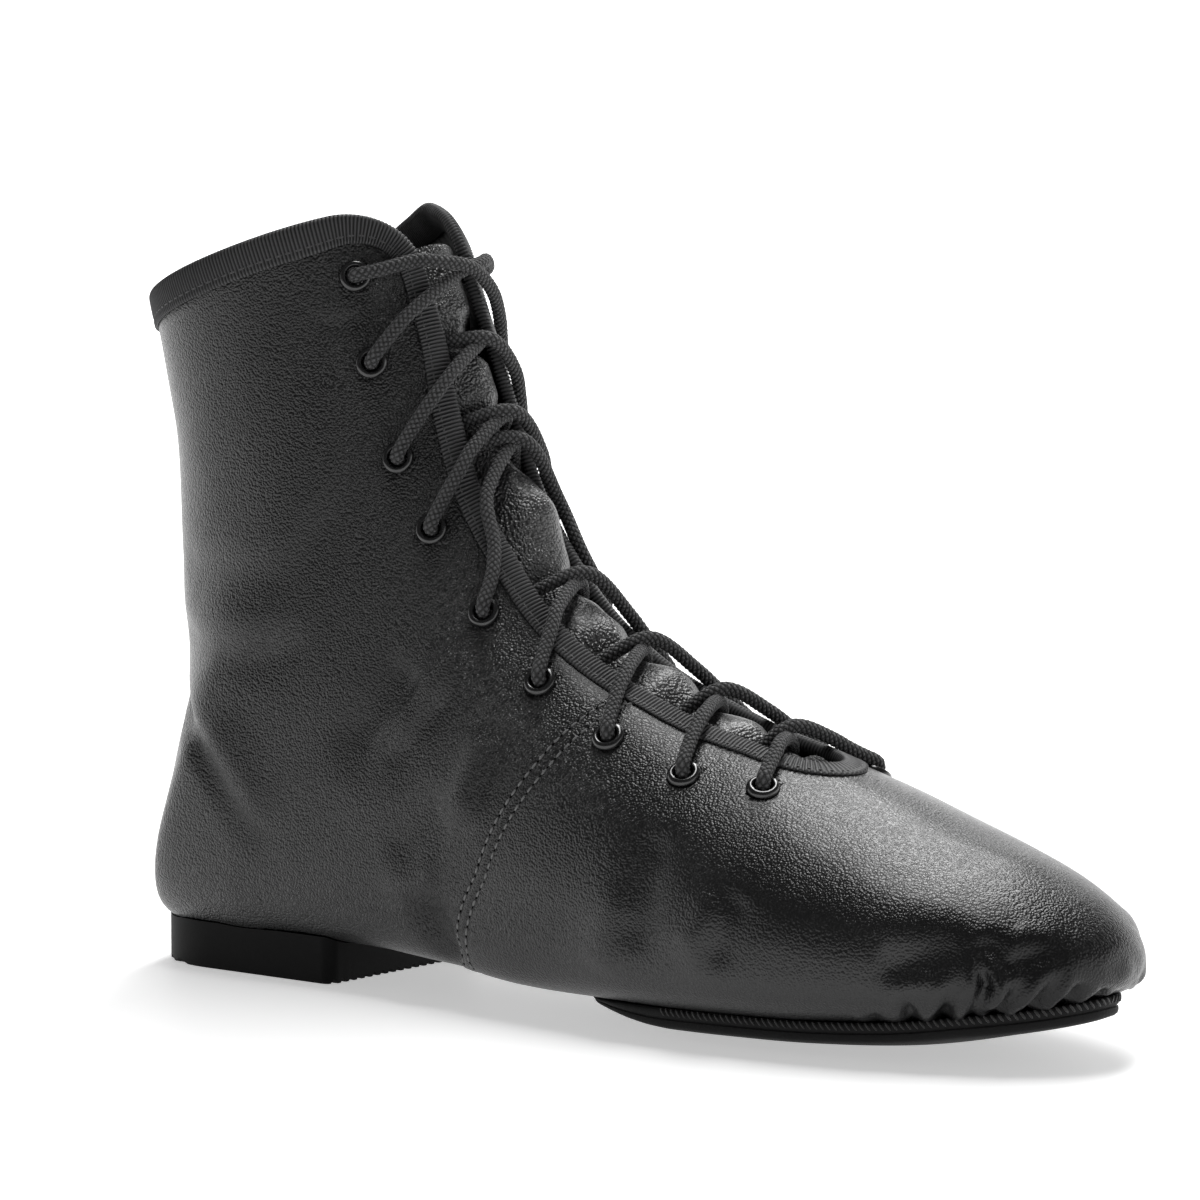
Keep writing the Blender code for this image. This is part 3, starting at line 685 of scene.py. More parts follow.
black_leather = leather_look("black_grain_leather", (0.0032, 0.0034), (0.0065, 0.0068), 1900.0, 0.28, 0.45)
black_lining = lining_look()
rows = ring_rows()
upper, along_share, round_share = start_grid("leather_upper", len(rows) - 1, COLUMNS)
near_edge, far_edge = throat_edge(rows, -1), throat_edge(rows, 1)
row_number = np.round(along_share * (len(rows) - 1)).astype(int)
gap = (near_edge + far_edge)[row_number]
angles = -near_edge[row_number] - (2 * math.pi - gap) * round_share
shape(upper, leather(ring_station(rows[row_number], angles), turned(angles)))
edit(upper, merge, face_out, let_go)
open_holes(upper)
upper.data.materials.append(black_leather)
upper.data.materials.append(black_lining)
wall = upper.modifiers.new("wall", "SOLIDIFY")
wall.thickness = WALL * MM
wall.offset = -1
wall.material_offset = 1
wall.use_quality_normals = True
apply_modifier(upper, wall)
finish_piece(upper, black_leather, "leather", "upper")


# The stitching of the vamp's lap: two rows of black thread on each side, about eleven stitches to the
# inch, pulled down into the leather, with a needle hole at each end of a stitch, drawn as a near-black
# grain of painted shade.
STITCH_PITCH = 2.3
STITCH_LONG, STITCH_WIDE, STITCH_HIGH = 1.65, 0.6, 0.55
NEEDLE_HOLE = (0.52, 0.52, 0.3)
SEAM_FROM, SEAM_TO = 0.42, 2.42


def make_stitch(name, long, wide, high):
    """One stitch: a small rounded grain of thread."""
    bpy.ops.object.select_all(action="DESELECT")
    bpy.ops.mesh.primitive_uv_sphere_add(segments=8, ring_count=5, radius=0.5, rotation=(0, math.pi / 2, 0))
    stitch = bpy.context.object
    stitch.name = name
    stitch.scale = (high, wide, long)
    bpy.ops.object.transform_apply(location=False, rotation=True, scale=True)
    return stitch


def sew(name, stitch, spots, runs, ups):
    """Copies of a stitch laid at spots, along runs and with their backs to ups, as one piece."""
    grain = np.array([vert.co for vert in stitch.data.vertices])
    faces = [np.array(face.vertices) for face in stitch.data.polygons]
    ups = unit(ups - (ups * runs).sum(1, keepdims=True) * runs)
    sides = np.cross(ups, runs)
    points = (
        spots[:, None] + grain[None, :, :1] * runs[:, None] + grain[None, :, 1:2] * sides[:, None]
        + grain[None, :, 2:] * ups[:, None]
    ).reshape(-1, 3)
    mesh = bpy.data.meshes.new(name)
    every = [tuple(face + number * len(grain)) for number in range(len(spots)) for face in faces]
    mesh.from_pydata(((points - MIDDLE) * MM).tolist(), [], every)
    piece = bpy.data.objects.new(name, mesh)
    bpy.context.scene.collection.objects.link(piece)
    return piece


def lengths_along(points):
    """Distance from the start of a line of points to each of them."""
    return np.concatenate(([0.0], np.cumsum(np.linalg.norm(np.diff(points, axis=0), axis=1))))


def even_steps(points, pitch):
    """Where along a line of points each step of the pitch falls, as a fractional index."""
    lengths = lengths_along(points)
    count = int(lengths[-1] / pitch)
    return np.interp((np.arange(count) + 0.5) * lengths[-1] / count, lengths, np.arange(len(points)))


def pick(values, at, known=None):
    """Values at fractional indices, or at lengths where the lengths to each value are given."""
    known = np.arange(len(values)) if known is None else known
    return np.column_stack([np.interp(at, known, column) for column in values.T])


def ways_at(line, at):
    """Unit vectors along a line at fractional indices."""
    return unit(pick(line, np.minimum(at + 0.5, len(line) - 1)) - pick(line, np.maximum(at - 0.5, 0)))


def sew_line(name, stitch, line, ups, pitch, shift=0.0):
    """Copies of a stitch along a line, each moved on by a share of the pitch."""
    at = even_steps(line, pitch)
    at = at[:-1] + shift * np.diff(at)
    return sew(name, stitch, pick(line, at), ways_at(line, at), unit(pick(ups, at)))


def thread_look(name, dark, pale):
    """Twisted polyester thread with a low shine."""
    made, tree, shader, place = new_material(name)
    twist = add_noise(tree, place, 5200.0, 1.0)
    add_bump(tree, shader, twist, 0.4, 0.0001)
    add_tones(tree, shader, twist, (dark, dark), (pale, pale))
    set_shader(shader, Roughness=0.5, Sheen_Weight=0.2)
    return made


def seam_line(side, ahead):
    """A line on the leather at a distance in front of the vamp's edge."""
    turn = side * np.linspace(SEAM_FROM, SEAM_TO, 240)
    station = seam_station(turn)
    for _ in range(3):
        station = station - (ahead - from_seam(station, turn)) / 17.0
    return leather(station, turn, 0.06), outward(station, turn)


def hole_shade_look():
    """Painted shade: a near-black grain that stands for the shade inside a needle hole."""
    made, tree, shader, place = new_material("needle_hole")
    tree.links.new(add_range(tree, add_noise(tree, place, 2000.0), 0.8, 1.0), shader.inputs["Roughness"])
    set_shader(shader, Base_Color=(0.0012, 0.0012, 0.0012, 1.0), Specular_IOR_Level=0.05)
    return made


# The seam's thread is black; its pale grey colour is painted sheen.
seam_thread_painted_sheen = thread_look("seam_thread_painted_sheen", 0.09, 0.2)
painted_hole_shade = hole_shade_look()
seam_stitch = make_stitch("seam_stitch", STITCH_LONG, STITCH_WIDE, STITCH_HIGH)
needle_hole = make_stitch("needle_hole", *NEEDLE_HOLE)
for side, word in ((-1, "outer"), (1, "inner")):
    for number, ahead in enumerate(STITCH_ROWS, 1):
        line, ups = seam_line(side, ahead)
        row = sew_line(f"seam_stitches_{word}_{number}", seam_stitch, line, ups, STITCH_PITCH)
        finish_piece(row, seam_thread_painted_sheen, "lace")
        # Near-black grains between the stitches, as painted shade of the needle holes.
        pricks = sew_line(f"needle_holes_{word}_{number}", needle_hole, line, ups, STITCH_PITCH, 0.5)
        finish_piece(pricks, painted_hole_shade, "lace")
bpy.data.objects.remove(seam_stitch)
bpy.data.objects.remove(needle_hole)


# The binding: black ribbed tape folded over the raw edge of collar and throat in one run, and sewn
# through near its lower edge. The ribs lie across the tape, a little over one to the millimetre.
RIB_PITCH, RIB_HEIGHT, RIB_STEPS = 0.85, 0.22, 4
TAPE_SEAM = 4.7
TAPE_STITCH = (1.7, 0.42, 0.36)
THROAT_NARROWING = 0.76
# The tape's section, from its outer lower edge over the fold and down inside: distance from the
# leather's edge, height above its outer face, and how much of the rib shows there.
TAPE_SECTION = (
    (6.5, 0.03, 0.0), (6.5, 0.42, 0.5), (6.25, 0.56, 1.0), (5.4, 0.6, 1.0), (4.7, 0.5, 1.0),
    (4.0, 0.62, 1.0),
    (2.4, 0.66, 1.0), (0.8, 0.68, 1.0), (0.0, 0.62, 1.0), (-0.55, 0.36, 1.0), (-0.82, -0.2, 1.0),
    (-0.88, -0.7, 1.0), (-0.82, -1.2, 1.0), (-0.5, -1.75, 1.0), (0.1, -2.0, 1.0), (2.6, -2.05, 1.0),
    (5.3, -2.0, 1.0), (5.5, -1.8, 0.5), (5.5, -1.43, 0.0), (0.0, -1.42, 0.0), (-0.15, -0.7, 0.0),
    (0.0, 0.02, 0.0),
)


def edge_run():
    """Stations and angles round the bound edge: up the near flap, round the collar and down."""
    reach = THROAT_ROUND[0]
    rows = np.concatenate((
        THROAT_END + reach * (1 - np.cos(np.linspace(0, np.pi / 2, 90))),
        np.linspace(THROAT_END + reach, CORNER_START, 700)[1:],
        CORNER_START + (COLLAR - CORNER_START) * np.sin(np.linspace(0, np.pi / 2, 160))[1:],
    ))
    edge, far_edge = throat_edge(rows, -1), throat_edge(rows, 1)
    flap = np.column_stack((ring_station(rows, edge), -edge))
    turn = np.linspace(-edge[-1], -2 * math.pi + far_edge[-1], 700)[1:-1]
    collar = np.column_stack((np.full(len(turn), float(COLLAR)), turn))
    down = np.column_stack((ring_station(rows, far_edge), far_edge - 2 * math.pi))[::-1]
    return np.concatenate((flap, collar, down))


def eased(values, reach):
    """A run of values with its corners eased by a moving mean, shorter by the reach at each end."""
    window = np.hanning(2 * reach + 3)[1:-1]
    window /= window.sum()
    return np.column_stack([np.convolve(column, window, mode="valid") for column in values.T])


def rounded(values, reach):
    """The same for a closed run of values, which keeps its length."""
    return eased(np.concatenate((values[-reach:], values, values[:reach])), reach)


def on_leather(run, inward, distance, lift):
    """A place on the leather at a distance in from the edge, or beyond the edge where it is negative."""
    station, angle = run.T
    step = 0.02
    high, low = np.minimum(station + step, COLLAR), station - step
    by_station = (skin(high, angle) - skin(low, angle)) / (high - low)[:, None]
    by_angle = (skin(station, angle + step) - skin(station, angle - step)) / (2 * step)
    aa, ab, bb = ((one * two).sum(1) for one, two in (
        (by_station, by_station), (by_station, by_angle), (by_angle, by_angle)
    ))
    inside = np.maximum(distance, 0.0)
    ta, tb = (inward * by_station).sum(1) * inside, (inward * by_angle).sum(1) * inside
    scale = aa * bb - ab * ab
    moved = leather(station + (ta * bb - tb * ab) / scale, turned(angle + (tb * aa - ta * ab) / scale), lift)
    return moved + inward * np.minimum(distance, 0.0)[:, None]


def loft(name, rings):
    """A piece through the points of its rings, merged where they meet."""
    across, along = len(rings) - 1, len(rings[0]) - 1
    piece, across_share, along_share = start_grid(name, across, along)
    across_number = np.round(across_share * across).astype(int)
    along_number = np.round(along_share * along).astype(int)
    shape(piece, rings[across_number, along_number])
    edit(piece, merge, face_out)
    return piece


run = edge_run()
line = leather(run[:, 0], turned(run[:, 1]))
lengths = lengths_along(line)
rib_count = int(lengths[-1] / RIB_PITCH)
samples = rib_count * RIB_STEPS
run = pick(run, np.linspace(0, lengths[-1], samples + 1), lengths)
line = leather(run[:, 0], turned(run[:, 1]))
ways = rounded(np.roll(line[:-1], -1, axis=0) - np.roll(line[:-1], 1, axis=0), 12)
ways = unit(np.concatenate((ways, ways[:1])))
inward = unit(np.cross(outward(run[:, 0], turned(run[:, 1])), ways))
inward = unit(rounded(inward[:-1], 14))
inward = np.concatenate((inward, inward[:1]))
width = np.where(run[:-1, 0] > COLLAR - 0.02, 1.0, THROAT_NARROWING)[:, None]
width = rounded(width, 60)[:, 0]
width = np.append(width, width[0])
rib = RIB_HEIGHT * np.cos(2 * np.pi * np.arange(samples + 1) / RIB_STEPS)
section_rings = []
for distance, lift, share in TAPE_SECTION:
    out = 1.0 if lift > -0.7 else -1.0
    section_rings.append(on_leather(run, inward, distance * width, lift + out * share * rib))
tape = loft("grosgrain_binding", np.array(section_rings + section_rings[:1]))


def tape_look(ribs):
    """Ribbed rayon tape: coloured near black in the grooves as painted shade, and paler on the ribs as
    painted sheen.
    """
    made, tree, shader, place = new_material("grosgrain_tape")
    add_bump(tree, shader, add_noise(tree, place, 3800.0), 0.5, 0.0001)
    along = add_node(tree, "ShaderNodeVectorMath", {0: place.outputs["UV"]}, operation="DOT_PRODUCT")
    along.inputs[1].default_value = (0.0, 2 * math.pi * ribs, 0.0)
    wave = add_node(tree, "ShaderNodeMath", {0: along.outputs["Value"]}, operation="COSINE")
    rib = add_range(tree, wave.outputs["Value"], 0.0, 1.0, -0.8, 1.0)
    # Painted shade in the grooves and painted sheen on the rib tops, following the ribs' wave.
    add_tones(tree, shader, rib, (0.0008, 0.0009), (0.068, 0.07))
    set_shader(shader, Roughness=0.55)
    return made


finish_piece(tape, tape_look(rib_count), "tape", "binding")
tape_stitch = make_stitch("tape_stitch", *TAPE_STITCH)
seam = on_leather(run, inward, TAPE_SEAM * width, 0.52)
row = sew_line("binding_stitches", tape_stitch, seam, outward(run[:, 0], turned(run[:, 1])), STITCH_PITCH)
# The binding's thread is black; its dark grey colour is painted sheen.
binding_thread_painted_sheen = thread_look("binding_thread_painted_sheen", 0.03, 0.08)
finish_piece(row, binding_thread_painted_sheen, "lace")
bpy.data.objects.remove(tape_stitch)


# The eyelets: black enamelled brass rings, nine to a side, pushed through punched holes and rolled
# over on the inside.
EYELET_TURNS = 36
# The turned section: radius and height above the leather.
EYELET_SECTION = (
    (1.95, -1.9), (1.95, 0.5), (2.02, 0.86), (2.22, 1.1), (2.55, 1.18), (2.92, 1.1), (3.22, 0.84),
    (3.42, 0.46), (3.46, 0.1), (3.3, 0.0), (2.55, 0.0), (2.5, -1.6), (3.2, -1.62), (3.3, -1.85),
    (2.7, -2.05),
)


def enamel_look():
    """Black baked enamel, glossy, with its roughness and tone varying a little at random."""
    made, tree, shader, place = new_material("black_enamel")
    rub = add_noise(tree, place, 900.0, 3.0)
    tree.links.new(add_range(tree, rub, 0.16, 0.34), shader.inputs["Roughness"])
    add_tones(tree, shader, rub, (0.003, 0.0033), (0.007, 0.0075))
    set_shader(shader, Coat_Weight=0.6, Coat_Roughness=0.12)
    return made


bpy.ops.object.select_all(action="DESELECT")
bpy.ops.mesh.primitive_circle_add(vertices=len(EYELET_SECTION), radius=0.001)
eyelet = bpy.context.object
for vert, (radius, height) in zip(eyelet.data.vertices, EYELET_SECTION):
    vert.co = (radius * MM, 0.0, height * MM)
edit(
    eyelet,
    lambda: bpy.ops.mesh.spin(
        steps=EYELET_TURNS, angle=2 * math.pi, center=(0, 0, 0), axis=(0, 0, 1)
    ),
    lambda: bpy.ops.mesh.select_all(action="SELECT"),
    merge,
    face_out,
)
black_enamel = enamel_look()
for side, word in ((-1, "near"), (1, "far")):
    for number, (station, angle) in enumerate(EYELETS, 1):
        at, turn = np.array([station]), np.array([side * angle])
        axis = Vector(outward(at, turn)[0])
        seat = Vector((leather(at, turn)[0] - MIDDLE) * MM)
        ring = bpy.data.objects.new(f"eyelet_ring_{word}_{number}", eyelet.data.copy())
        bpy.context.scene.collection.objects.link(ring)
        ring.data.transform(Matrix.Translation(seat) @ axis.to_track_quat("Z", "Y").to_matrix().to_4x4())
        finish_piece(ring, black_enamel, "enamel", f"eyelet_{word}_{number}", sharp=60)
bpy.data.objects.remove(eyelet)


# The insole: a sock of thin black drill over foam, cut to the foot and glued in on the turned edges of
# the upper. It closes the two openings under the foot, and shows only down the shaft.
INSOLE_BACK, INSOLE_FRONT, INSOLE_THICK = 9.0, 226.0, 1.6
INSOLE_HEEL_ROUND, INSOLE_TOE_ROUND = 20.0, 24.0
INSOLE_SHARE, INSOLE_WIDEST = 0.69, 28.0
INSOLE_LIFT = WALL + 0.6


def underside(x, y):
    """Height of the upper's outer face below the foot, at places on the floor."""
    low, high = np.zeros(len(x)), np.full(len(x), 16.0)
    for _ in range(32):
        middle = (low + high) / 2
        top_x, top_z, under_x, under_z, near, far, widest, _, power = ring_at(middle)
        share = np.clip(np.abs(y) / np.where(y > 0, far, near), 0.0, 1.0)
        height = widest * (1 - (1 - share**power) ** (1 / power))
        ahead = under_x + (top_x - under_x) * height > x
        low, high = np.where(ahead, middle, low), np.where(ahead, high, middle)
    return under_z + (top_z - under_z) * height


def half_foot(x):
    """The lesser half width of the upper along the foot."""
    return np.interp(x, RINGS[15::-1, 2], np.minimum(RINGS[15::-1, 4], RINGS[15::-1, 5]))


def thicken(piece, drop):
    """Close a shaped grid into a slab: a copy of its faces is extruded and goes down by drop."""
    count = len(piece.data.vertices)
    edit(piece, bpy.ops.mesh.extrude_region)
    points = places(piece)
    new = np.arange(len(points)) >= count
    points[new] = drop(points[new])
    shape(piece, points)
    edit(piece, face_out)


insole, along_share, across_share = start_grid("drill_insole", 90, 30)
x = INSOLE_BACK + (INSOLE_FRONT - INSOLE_BACK) * along_share
ends = np.minimum((x - INSOLE_BACK) / INSOLE_HEEL_ROUND, (INSOLE_FRONT - x) / INSOLE_TOE_ROUND)
half = np.minimum(half_foot(x) * INSOLE_SHARE, INSOLE_WIDEST)
half = half * (0.35 + 0.65 * np.sin(np.pi / 2 * np.clip(ends, 0.0, 1.0)))
y = half * (2 * across_share - 1)
shape(insole, np.column_stack((x, y, underside(x, y) + INSOLE_LIFT + INSOLE_THICK)))
thicken(insole, lambda points: points - (0.0, 0.0, INSOLE_THICK))
finish_piece(insole, black_lining, "lining", "insole", sharp=50)


# The forefoot sole: a thin pad of black suede split with a leather edge band, glued to the upper all
# round and whip-stitched to it ahead of its back end, and skived thin at its back end. It curls up with the
# toe.
PAD_BACK, PAD_FRONT = 121.0, 236.5
PAD_OUTLINE = np.array((
    (0.0, 12.0), (0.03, 19.0), (0.10, 25.5), (0.22, 29.6), (0.36, 31.0), (0.54, 29.6), (0.70, 26.0),
    (0.82, 21.5), (0.92, 14.2), (0.97, 8.6), (1.0, 3.0),
)).T
PAD_AROUND = 420
PAD_GAP, PAD_SKIVE = 0.12, 30.0
# The pad's section from the middle of its top, round its edge, to the middle of its face: share of
# the way in to the middle, inset from the outline, and drop below the top.
PAD_SECTION = (
    (1.0, 0.0, 0.0), (0.7, 0.0, 0.0), (0.35, 0.0, 0.0), (0.0, 3.0, 0.0), (0.0, 0.9, 0.05), (0.0, 0.25, 0.2),
    (0.0, -0.15, 0.6), (0.0, -0.25, 1.1), (0.0, -0.15, 1.6), (0.0, 0.15, 2.0), (0.0, 0.5, 2.2),
    (0.0, 0.45, 2.4),
    (0.0, 0.15, 2.6), (0.0, 0.1, 3.2), (0.0, 0.3, 3.8), (0.0, 0.9, 4.05), (0.0, 3.0, 4.1), (0.35, 0.0, 4.1),
    (0.7, 0.0, 4.1), (1.0, 0.0, 4.1),
)


def pad_rim():
    """The pad's outline as a closed even line, with its outward normals."""
    share = (1 - np.cos(np.linspace(0, np.pi, 400))) / 2
    x = PAD_BACK + (PAD_FRONT - PAD_BACK) * share
    half = smooth(share, PAD_OUTLINE)
    rim = np.concatenate((
        np.column_stack((x, -half)), np.column_stack((x, half))[::-1], [(PAD_BACK, -half[0])]
    ))
    lengths = lengths_along(rim)
    rim = rounded(pick(rim, np.linspace(0, lengths[-1], PAD_AROUND + 1)[:-1], lengths), 5)
    ways = rounded(np.roll(rim, -1, axis=0) - np.roll(rim, 1, axis=0), 4)
    return rim, unit(np.column_stack((ways[:, 1], -ways[:, 0])))


def pad_place(rim, normals, inward, inset, drop):
    """A ring of the pad's surface."""
    centre = np.array(((PAD_BACK + PAD_FRONT) / 2, 0.0))
    flat = rim - normals * inset
    flat = centre + (flat - centre) * (1 - inward)
    top = underside(flat[:, 0], flat[:, 1]) - PAD_GAP
    skive = 0.2 + 0.8 * ramp(flat[:, 0], PAD_BACK, PAD_BACK + PAD_SKIVE)
    return np.column_stack((flat, np.maximum(top - drop * skive, 0.0)))


rim, normals = pad_rim()
pad_rings = np.array([pad_place(rim, normals, *part) for part in PAD_SECTION])
pad = loft("suede_forefoot_sole", np.concatenate((pad_rings, pad_rings[:, :1]), axis=1))


def suede_look():
    """Brushed black split leather: matte, with a short nap."""
    made, tree, shader, place = new_material("black_suede")
    add_bump(tree, shader, add_noise(tree, place, 1900.0, 4.0), 0.6, 0.0002)
    add_tones(tree, shader, add_noise(tree, place, 55.0, 4.0), (0.002, 0.0021), (0.005, 0.0052))
    set_shader(shader, Roughness=0.75, Specular_IOR_Level=0.25, Sheen_Weight=0.04)
    return made


finish_piece(pad, suede_look(), "sole", "forefoot_sole", sharp=60)
WHIP_PITCH, WHIP_FROM, WHIP_SLANT = 1.4, 150.0, 0.75
WHIP_STITCH = (2.0, 0.55, 0.5)
whip = make_stitch("whip_stitch", *WHIP_STITCH)
band = pad_place(rim, normals, 0.0, -0.2, 1.0)
band = np.concatenate((band, band[:1]))
outs = np.column_stack((normals, np.zeros(len(normals))))
outs = np.concatenate((outs, outs[:1]))
at = even_steps(band, WHIP_PITCH)
at = at[pick(band, at)[:, 0] > WHIP_FROM]
runs = ways_at(band, at)
slant = unit(np.array((0.0, 0.0, 1.0)) - WHIP_SLANT * runs * np.sign(runs[:, :1]))
row = sew("sole_whip_stitches", whip, pick(band, at), slant, unit(pick(outs, at)))
finish_piece(row, thread_look("whip_thread", 0.003, 0.01), "lace")
bpy.data.objects.remove(whip)


# The heel: a low moulded block of black rubber, glued under the turned-in upper. Its sides are
# upright with eased corners, and its face has fine grooves along it that show at breast and back.
HEEL_BACK, HEEL_BREAST, HEEL_HALF, HEEL_RIM = -1.6, 57.0, 25.0, 10.2
HEEL_CORNER = 2.6
HEEL_ROUND_FROM, HEEL_ROUND, HEEL_POWER = -2.0, 24.0, 2.4
GROOVE_PITCH, GROOVE_DEPTH = 2.6, 0.9


def heel_half(x):
    """Half width: a broad round back, straight sides and eased corners at the breast."""
    back = np.clip(1 - (x - HEEL_ROUND_FROM) / HEEL_ROUND, 0.0, 1.0)
    half = HEEL_HALF * (1 - back**HEEL_POWER) ** (1 / HEEL_POWER)
    corner = np.clip((x - HEEL_BREAST + HEEL_CORNER) / HEEL_CORNER, 0.0, 1.0)
    return half - HEEL_CORNER * (1 - np.sqrt(1 - corner**2))


def heel_face(points):
    """The face on the floor, with its grooves."""
    moved = points.copy()
    wave = 0.5 + 0.5 * np.cos(2 * np.pi * points[:, 1] / GROOVE_PITCH)
    moved[:, 2] = GROOVE_DEPTH * ramp(wave, 0.35, 0.85)
    return moved


heel, along_share, across_share = start_grid("rubber_heel", 60, 190)
x = HEEL_BACK + (HEEL_BREAST - HEEL_BACK) * (1 - np.cos(np.pi * along_share)) / 2
y = heel_half(x) * (2 * across_share - 1)
shape(heel, np.column_stack((x, y, np.minimum(underside(x, y) - 0.1, HEEL_RIM))))
thicken(heel, heel_face)


def rubber_look():
    """Moulded black rubber: matte, with faint moulding marks and a faint random tone."""
    made, tree, shader, place = new_material("black_rubber")
    add_bump(tree, shader, add_noise(tree, place, 1500.0, 3.0), 0.3, 0.0001)
    add_tones(tree, shader, add_noise(tree, place, 120.0, 4.0), (0.001, 0.0011), (0.003, 0.0032))
    set_shader(shader, Roughness=0.6, Specular_IOR_Level=0.12)
    return made


finish_piece(heel, rubber_look(), "rubber", "heel", sharp=35)


# The lace: one round cord of plaited black cotton, held by the eyelets all the way. It runs under the
# throat's end, comes out of each eyelet, crosses and dips under the other flap, and at the top goes
# over both flaps into the last pair of eyelets, where its ends stay inside.
LACE_RADIUS = 1.5
LACE_STEP = 0.36
LACE_ROUND = 28
LACE_EASE = 6
PLAITS, PLAIT_PITCH, PLAIT_HEIGHT = 6, 1.3, 0.26
# Height of a strand above the leather by its share of the way between two eyelets, where gap, if
# given, is its place in the throat as a share of the gap's half width.
# share, gap, under, over, top_under, top_over
LIFTS = (
    (0.10, None, 2.3, 2.0, 2.5, 2.3),
    (0.17, None, 2.6, 2.1, 2.8, 2.5),
    (0.28, 1.0, 2.7, 2.5, 3.0, 3.2),
    (0.50, 0.0, 0.2, 3.1, 1.6, 4.5),
    (0.64, -0.7, -2.6, -2.0, 2.6, 4.4),
    (0.72, -1.0, -3.9, -3.9, 3.2, 4.1),
    (0.80, -1.25, -4.0, -4.0, 3.2, 3.4),
    (0.90, None, -3.9, -3.9, 2.8, 2.8),
)
UP_THROUGH = (-3.3, -1.2, 0.6, 1.9)
# The crossing that the tongue's bulge pushes up the throat: its lower eyelets, and how far in station
# each of its places above moves.
PUSHED = (4, (0.0, 0.2, 0.75, 1.05, 1.05, 0.9, 0.6, 0.15))


def edge_at(station):
    return throat_edge(np.array([station]), -1)[0]


def strand(number, side, column):
    """One strand from an eyelet to the next one up on the other side, as stations, angles, lifts."""
    station, angle = EYELETS[number]
    to_station, to_angle = EYELETS[number - 1]
    rows = []
    for place, (share, gap, *lifts) in enumerate(LIFTS):
        at = station + (to_station - station) * share + (PUSHED[1][place] if number == PUSHED[0] else 0.0)
        turn = angle + (-to_angle - angle) * share
        if gap is not None:
            turn = edge_at(at) * gap
        rows.append((at, side * turn, lifts[column]))
    return rows


def through(number, side, lifts):
    """Up through an eyelet along its axis."""
    station, angle = EYELETS[number]
    return [(station, side * angle, lift) for lift in lifts]


def climb(side):
    """Half of the lace, from the lowest eyelet of one side up to the top."""
    rows = through(8, side, UP_THROUGH)
    for number in range(8, 0, -1):
        top = number == 1
        rows += strand(number, side, (1 if side > 0 else 0) + (2 if top else 0))
        side = -side
        rows += through(number - 1, side, UP_THROUGH[::-1] if top else UP_THROUGH)
    return rows


BAR = ((6.95, -0.34, -4.6), (6.97, -0.17, -3.8), (6.98, 0.0, -2.0), (6.97, 0.17, -3.8), (6.95, 0.34, -4.6))
route = np.array(climb(-1)[::-1] + list(BAR) + climb(1))
on_skin = skin(route[:, 0], route[:, 1]) + outward(route[:, 0], route[:, 1]) * route[:, 2:]


def spline(points, spacing):
    """An even line on a smooth curve through points, by a centripetal spline."""
    before = np.concatenate(([2 * points[0] - points[1]], points, [2 * points[-1] - points[-2]]))
    dense = []
    for p0, p1, p2, p3 in zip(before, before[1:], before[2:], before[3:]):
        t1 = math.sqrt(np.linalg.norm(p1 - p0))
        t2 = t1 + math.sqrt(np.linalg.norm(p2 - p1))
        t3 = t2 + math.sqrt(np.linalg.norm(p3 - p2))
        t = np.linspace(t1, t2, 40, endpoint=False)[:, None]
        a1, a2, a3 = (
            (t1 - t) / t1 * p0 + t / t1 * p1,
            (t2 - t) / (t2 - t1) * p1 + (t - t1) / (t2 - t1) * p2,
            (t3 - t) / (t3 - t2) * p2 + (t - t2) / (t3 - t2) * p3,
        )
        b1 = (t2 - t) / t2 * a1 + t / t2 * a2
        b2 = (t3 - t) / (t3 - t1) * a2 + (t - t1) / (t3 - t1) * a3
        dense.append((t2 - t) / (t2 - t1) * b1 + (t - t1) / (t2 - t1) * b2)
    dense = np.concatenate(dense + [points[-1:]])
    lengths = lengths_along(dense)
    at = np.linspace(0, lengths[-1], int(lengths[-1] / spacing) + 1)
    return pick(dense, at, lengths), lengths[-1]


core, lace_length = spline(on_skin, LACE_STEP)
core = np.concatenate((core[:LACE_EASE], eased(core, LACE_EASE), core[-LACE_EASE:]))
ways = unit(np.gradient(core, axis=0))
side_way = np.empty_like(core)
side_way[0] = np.cross(ways[0], (0.0, 0.0, 1.0))
for number in range(1, len(core)):
    side_way[number] = side_way[number - 1] - ways[number] * (side_way[number - 1] @ ways[number])
    side_way[number] /= np.linalg.norm(side_way[number])
side_way = unit(side_way)
other_way = np.cross(ways, side_way)

lace, round_share, along_share = start_grid("plaited_lace", LACE_ROUND, len(core) - 1)
number = np.round(along_share * (len(core) - 1)).astype(int)
turn = 2 * np.pi * round_share
length = number * lace_length / (len(core) - 1)
left = turn * PLAITS / (2 * np.pi) + length / PLAIT_PITCH
right = turn * PLAITS / (2 * np.pi) - length / PLAIT_PITCH
left_over = (np.floor(left + 1e-6) + np.floor(right + 1e-6)) % 2 < 1
left_curve = np.abs(np.sin(np.pi * (left + 1e-6)))
right_curve = np.abs(np.sin(np.pi * (right + 1e-6)))
plait = np.where(
    left_over, left_curve**0.9 * right_curve**0.35, right_curve**0.9 * left_curve**0.35
)
ends = np.minimum(length, lace_length - length)
radius = (LACE_RADIUS - 0.07 + PLAIT_HEIGHT * (plait - 0.5)) * np.sqrt(np.clip(ends / 1.2, 0.0, 1.0))
shape(
    lace,
    core[number] + side_way[number] * (radius * np.cos(turn))[:, None]
    + other_way[number] * (radius * np.sin(turn))[:, None],
)
edit(lace, merge, face_out)


